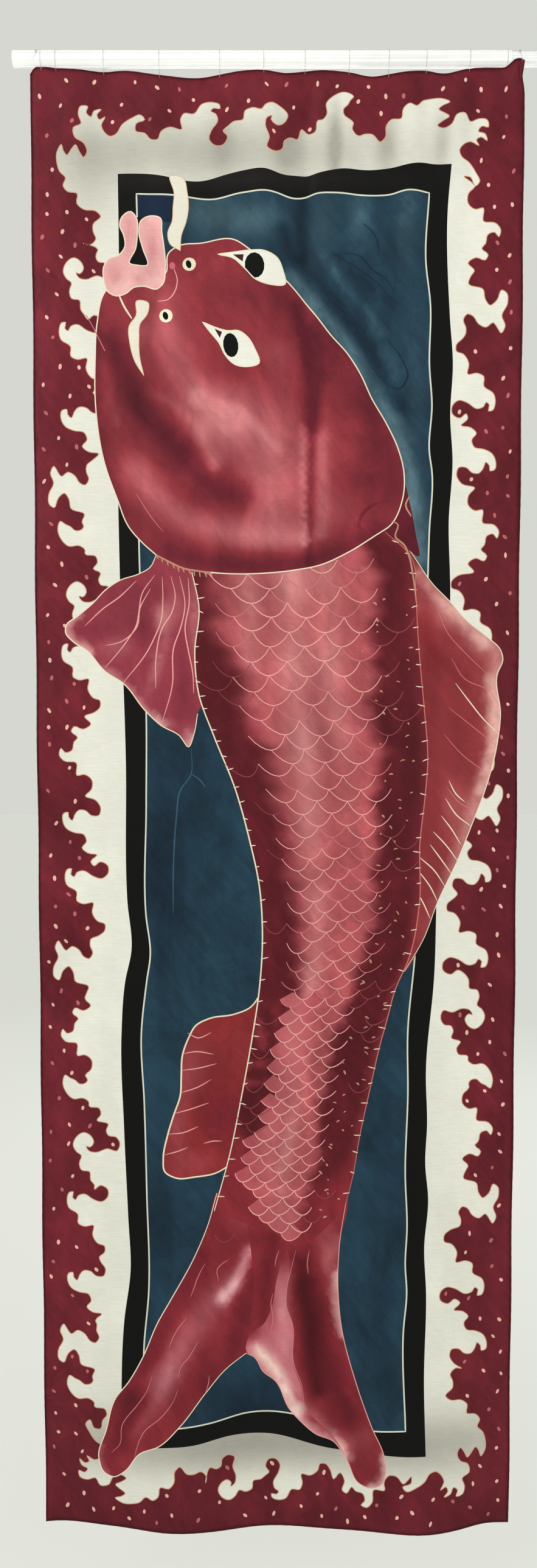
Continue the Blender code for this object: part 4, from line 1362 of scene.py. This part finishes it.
def clear_tube(name, radius, ends, finish):
    """A tube along X with polished rims, its wall drawn as a ring turned in many steps."""
    left, right = ends
    bore = radius - TUBE_WALL
    cut = TUBE_RIM * 0.3
    profile = [
        (left + TUBE_RIM, radius), (right - TUBE_RIM, radius), (right - cut, radius - cut),
        (right, radius - TUBE_RIM), (right, bore + TUBE_RIM), (right - cut, bore + cut),
        (right - TUBE_RIM, bore), (left + TUBE_RIM, bore), (left + cut, bore + cut),
        (left, bore + TUBE_RIM), (left, radius - TUBE_RIM), (left + cut, radius - cut),
    ]
    steps = 128
    vertices = []
    for turn in range(steps):
        angle = 2 * pi * turn / steps
        vertices += [around(across, angle, distance) for across, distance in profile]
    made = new_object(name, vertices, skin(steps, len(profile), closed=True), finish)
    made.data.set_sharp_from_angle(angle=radians(40))
    return made


def arc(start, end):
    """Evenly spaced angles from start to end, about eight degrees apart."""
    count = max(2, round(abs(end - start) / radians(8)))
    return [start + (end - start) * number / count for number in range(count + 1)]


def lashing_route():
    """The thread: down behind the tube, through the hem from back to front, up the front, and on."""
    through = 0.0016              # how far in front of the hem and behind it the thread turns
    points = []
    behind_from = LASHINGS[0][0] - 0.0045
    start_angle = radians(44)
    for across, edge_height in LASHINGS:
        hole = edge_height - HOLE_BELOW_EDGE
        meets = pi - acos(TURN_RADIUS / -hole)
        behind = arc(start_angle, -meets)
        for step, angle in enumerate(behind):
            share = step / (len(behind) - 1)
            points.append(around(behind_from + (across - behind_from) * share, angle, TURN_RADIUS))
        points.append((across, through, hole))
        points.append((across, 0.0, hole - 0.0006))
        points.append((across, -through, hole))
        points += [around(across, angle, TURN_RADIUS) for angle in arc(meets, radians(20))]
        behind_from = across
        start_angle = 0.0
    # on past the last turn, down onto the inner tube and into the knot at its right
    points += [
        around(0.4195, radians(4), TURN_RADIUS), around(0.4235, radians(-4), TURN_RADIUS),
        around(0.4275, radians(-2), TURN_RADIUS - 0.0008), around(0.431, radians(8), INNER_RADIUS + 0.0014),
        around(0.434, radians(22), INNER_RADIUS + 0.0013),
    ]
    return points


def thread_piece(name, runs, finish):
    """One or more runs of thread, round and capped. Each run is a list of points."""
    curve = bpy.data.curves.new(name, "CURVE")
    curve.dimensions = "3D"
    curve.bevel_depth = THREAD_RADIUS
    curve.bevel_resolution = 3
    curve.use_fill_caps = True
    for run in runs:
        spline = curve.splines.new("POLY")
        spline.points.add(len(run) - 1)
        for point, place in zip(spline.points, run):
            point.co = (*place, 1.0)
    curve.materials.append(finish)
    return add_object(name, curve)


def knot_runs(across, angle, radius, tails):
    """A small overhand knot: a coil of three turns, a loop round it, and its two cut tails."""
    middle = Vector(around(across, angle, radius))
    turns = 3
    steps = 48
    coil = []
    for step in range(steps + 1):
        turn = 2 * pi * turns * step / steps
        swell = 0.001 + 0.0004 * sin(pi * step / steps)
        along = (step / steps - 0.5) * 0.0026
        coil.append(middle + Vector((along, swell * cos(turn), swell * sin(turn))))
    steps = 24
    loop = []
    for step in range(steps + 1):
        turn = 2 * pi * step / steps
        loop.append(middle + Vector((0.0007 * sin(2 * turn), 0.0015 * cos(turn + 0.6), 0.0013 * sin(turn))))
    runs = [coil, loop]
    for tail in tails:
        run = smooth([np.array(middle)] + [np.array(around(*place)) for place in tail], step=0.0008)
        runs.append([tuple(point) for point in run])
    return runs


def rolled_hem(name, path, finish):
    """A soft roll of cloth along an edge. The path is in flat-sheet x and z."""
    path = np.array(path)
    middle = np.column_stack(hung(path[:, 0], path[:, 1]))
    along = np.gradient(middle, axis=0)
    along /= np.linalg.norm(along, axis=1, keepdims=True)
    facing = np.array((0.0, -1.0, 0.0))
    inward = np.cross(along, facing)
    inward /= np.linalg.norm(inward, axis=1, keepdims=True)
    outward = np.cross(inward, along)
    sides = 10
    vertices = []
    cloth = []
    for number, place in enumerate(middle):
        pinch = 1 - 0.16 * (0.5 + 0.5 * cos(number * 1.9)) + chance.uniform(-0.05, 0.05)
        for side in range(sides):
            angle = 2 * pi * side / sides
            across = HEM_WIDTH / 2 * cos(angle) * pinch
            out = HEM_DEPTH * sin(angle) * (1.1 - 0.25 * cos(angle))
            vertices.append(place + inward[number] * across + outward[number] * out)
            cloth.append((path[number, 0], across + out, path[number, 1]))
    return new_object(name, vertices, skin(len(middle), sides), finish, cloth)


def gathered_corner(finish):
    """The top right corner, drawn up into pleats and tied in front of the tube."""
    # each section: height, middle x, half width, y of its middle, depth of the pleats
    sections = (
        (-0.042, 0.4396, 0.0016, -0.014, 0.0003), (-0.034, 0.4398, 0.0026, -0.0158, 0.0006),
        (-0.027, 0.44, 0.0034, -0.0176, 0.001), (-0.021, 0.4402, 0.0042, -0.019, 0.0014),
        (-0.017, 0.4403, 0.0048, -0.0198, 0.0016), (-0.0146, 0.4403, 0.0048, -0.0199, 0.0015),
        (-0.0132, 0.4403, 0.004, -0.0195, 0.001), (-0.0124, 0.4403, 0.0026, -0.019, 0.0006),
    )
    columns = 40
    vertices = []
    cloth = []
    for height, middle, half, depth, pleat in sections:
        for column in range(columns):
            angle = 2 * pi * column / columns
            across = cos(angle)
            folds = pleat * 0.6 * cos(across * 11 + height * 30)
            thick = 0.0008 + pleat * 0.35
            vertices.append((
                middle + half * across, depth + folds - thick * sin(angle), height + 0.002 * across,
            ))
            cloth.append((middle + half * across, thick * sin(angle), height))
    made = new_object("gathered_corner", vertices, skin(len(sections), columns), finish, cloth)
    soft = made.modifiers.new("soft", "SUBSURF")
    soft.levels = 1
    soft.render_levels = 1
    return made


silk = silk_finish()
# the hems' maroon is darker than the ground's: doubled silk, and painted shade along the sheet's edges
hem_silk = hem_finish("rolled_hem_silk", (74, 16, 25))
pleated_silk = hem_finish("pleated_silk", (104, 34, 46))
pale_thread = thread_finish("lashing_thread_cotton", (182, 178, 170))

sheet = silk_sheet(silk)
steps_down = np.arange(0, 1.0001, CURVE_STEP / CUT_LENGTH)
steps_across = np.arange(0, 1.0001, CURVE_STEP / (2 * HALF_WIDTH))
heights = SILK_TOP + (SILK_BOTTOM - SILK_TOP) * steps_down
acrosses = -HALF_WIDTH + 2 * HALF_WIDTH * steps_across
hems = {
    "hem_left": [(-HALF_WIDTH + HEM_INSET, height) for height in heights],
    "hem_right": [(HALF_WIDTH - HEM_INSET, height) for height in heights[::-1]],
    "hem_bottom": [(across, SILK_BOTTOM + HEM_INSET) for across in acrosses],
    "hem_top": [(across, SILK_TOP - HEM_INSET) for across in acrosses[::-1]],
}
hem_pieces = {name: rolled_hem(name, path, hem_silk) for name, path in hems.items()}
corner_piece = gathered_corner(pleated_silk)

outer_clear = acrylic_glow_finish("clear_acrylic", (253, 253, 251))
inner_clear = acrylic_glow_finish("clear_acrylic_inner", (248, 250, 249))
outer = clear_tube("clear_outer_tube", OUTER_RADIUS, OUTER_ENDS, outer_clear)
inner = clear_tube("clear_inner_tube", INNER_RADIUS, INNER_ENDS, inner_clear)
lashing = thread_piece("lashing", [lashing_route()], pale_thread)
near = TURN_RADIUS + 0.0002
start_runs = knot_runs(START_KNOT, radians(64), OUTER_RADIUS + 0.0019, (
    ((-0.4385, radians(50), near), (-0.442, radians(26), near)),
    ((-0.4375, radians(80), near), (-0.44, radians(100), near + 0.001),
     (-0.4415, radians(118), near + 0.002)),
))
start_knot = thread_piece("start_knot", start_runs, pale_thread)
near = INNER_RADIUS + 0.001
end_runs = knot_runs(END_KNOT, radians(48), INNER_RADIUS + 0.0019, (
    ((0.4405, radians(30), near), (0.4425, radians(14), near)),
    ((0.4395, radians(58), near + 0.0006), (0.4405, radians(64), near + 0.001)),
))
# from the knot down in front of the gathered corner, which it ties
end_runs.append([
    around(END_KNOT, radians(52), near + 0.0006), around(0.4392, radians(72), near + 0.0004),
    around(0.44, radians(90), near + 0.003), (0.4404, -0.019, -0.006), (0.4406, -0.0206, -0.011),
    (0.4402, -0.0216, -0.015),
])
end_knot = thread_piece("end_knot", end_runs, pale_thread)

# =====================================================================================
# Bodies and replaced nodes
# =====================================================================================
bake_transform(sheet)
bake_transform(hem_pieces["hem_left"])
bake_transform(hem_pieces["hem_right"])
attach(hem_pieces["hem_bottom"], "banner_lower")
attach(hem_pieces["hem_top"], "banner_upper")
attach(corner_piece, "banner_upper")
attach(outer, "outer_tube")
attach(inner, "inner_tube")
for piece in (lashing, start_knot, end_knot):
    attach(piece, "banner_upper")
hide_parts("silk_upper", "silk_lower")
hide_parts("silk_corner")
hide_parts("outer_tube")
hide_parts("inner_tube")
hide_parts("lashing_thread")
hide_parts("left_knot")
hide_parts("right_knot")

# =====================================================================================
# Floor, light and camera
# =====================================================================================
def floor():
    """A plain pale floor below the hanging banner."""
    bpy.ops.mesh.primitive_plane_add(size=40, location=(0, 0, FLOOR_HEIGHT))
    made = bpy.context.object
    made.name = "studio_floor"
    finish = bpy.data.materials.new("pale_floor")
    finish.use_nodes = True
    surface = finish.node_tree.nodes["Principled BSDF"]
    surface.inputs["Base Color"].default_value = (*linear((118, 119, 116)), 1)
    surface.inputs["Roughness"].default_value = 0.9
    surface.inputs["Specular IOR Level"].default_value = 0.1
    surface.inputs["Emission Color"].default_value = (*linear(BACKDROP), 1)
    surface.inputs["Emission Strength"].default_value = 0.82
    made.data.materials.append(finish)
    return made


def area_light(name, place, aim, size, power):
    """A large soft lamp."""
    data = bpy.data.lights.new(name, "AREA")
    data.shape = "RECTANGLE"
    data.size, data.size_y = size
    data.energy = power
    made = add_object(name, data)
    made.location = place
    made.rotation_euler = (Vector(aim) - Vector(place)).to_track_quat("-Z", "Y").to_euler()


def surroundings():
    """A pale, even studio world."""
    world = bpy.data.worlds.new("studio")
    world.use_nodes = True
    background = world.node_tree.nodes["Background"]
    background.inputs["Color"].default_value = (*linear(BACKDROP), 1)
    background.inputs["Strength"].default_value = 1.0
    bpy.context.scene.world = world


floor()
surroundings()
area_light("front_left", (-3.2, -3.0, 0.6), (0, 0, -1.3), (1.6, 2.4), 88)
area_light("front_right", (2.8, -3.2, -0.6), (0, 0, -1.5), (2.0, 2.6), 40)
area_light("above_tube", (0, -0.9, 0.9), (0, 0, 0), (1.6, 0.1), 2.5)
area_light("behind", (0.6, 3.4, 0.2), (0, 0, -1.4), (2.6, 2.6), 110)

bpy.context.scene.view_settings.view_transform = "Standard"
camera_data = bpy.data.cameras.new("camera")
camera_data.sensor_width = 36
camera_data.sensor_height = 36
camera_data.lens = 27.04
camera_data.clip_end = 100
camera = add_object("camera", camera_data)
camera.location = (-0.0165, -2.206, -1.203)
camera.rotation_euler = (radians(87), 0, 0)
bpy.context.scene.camera = camera
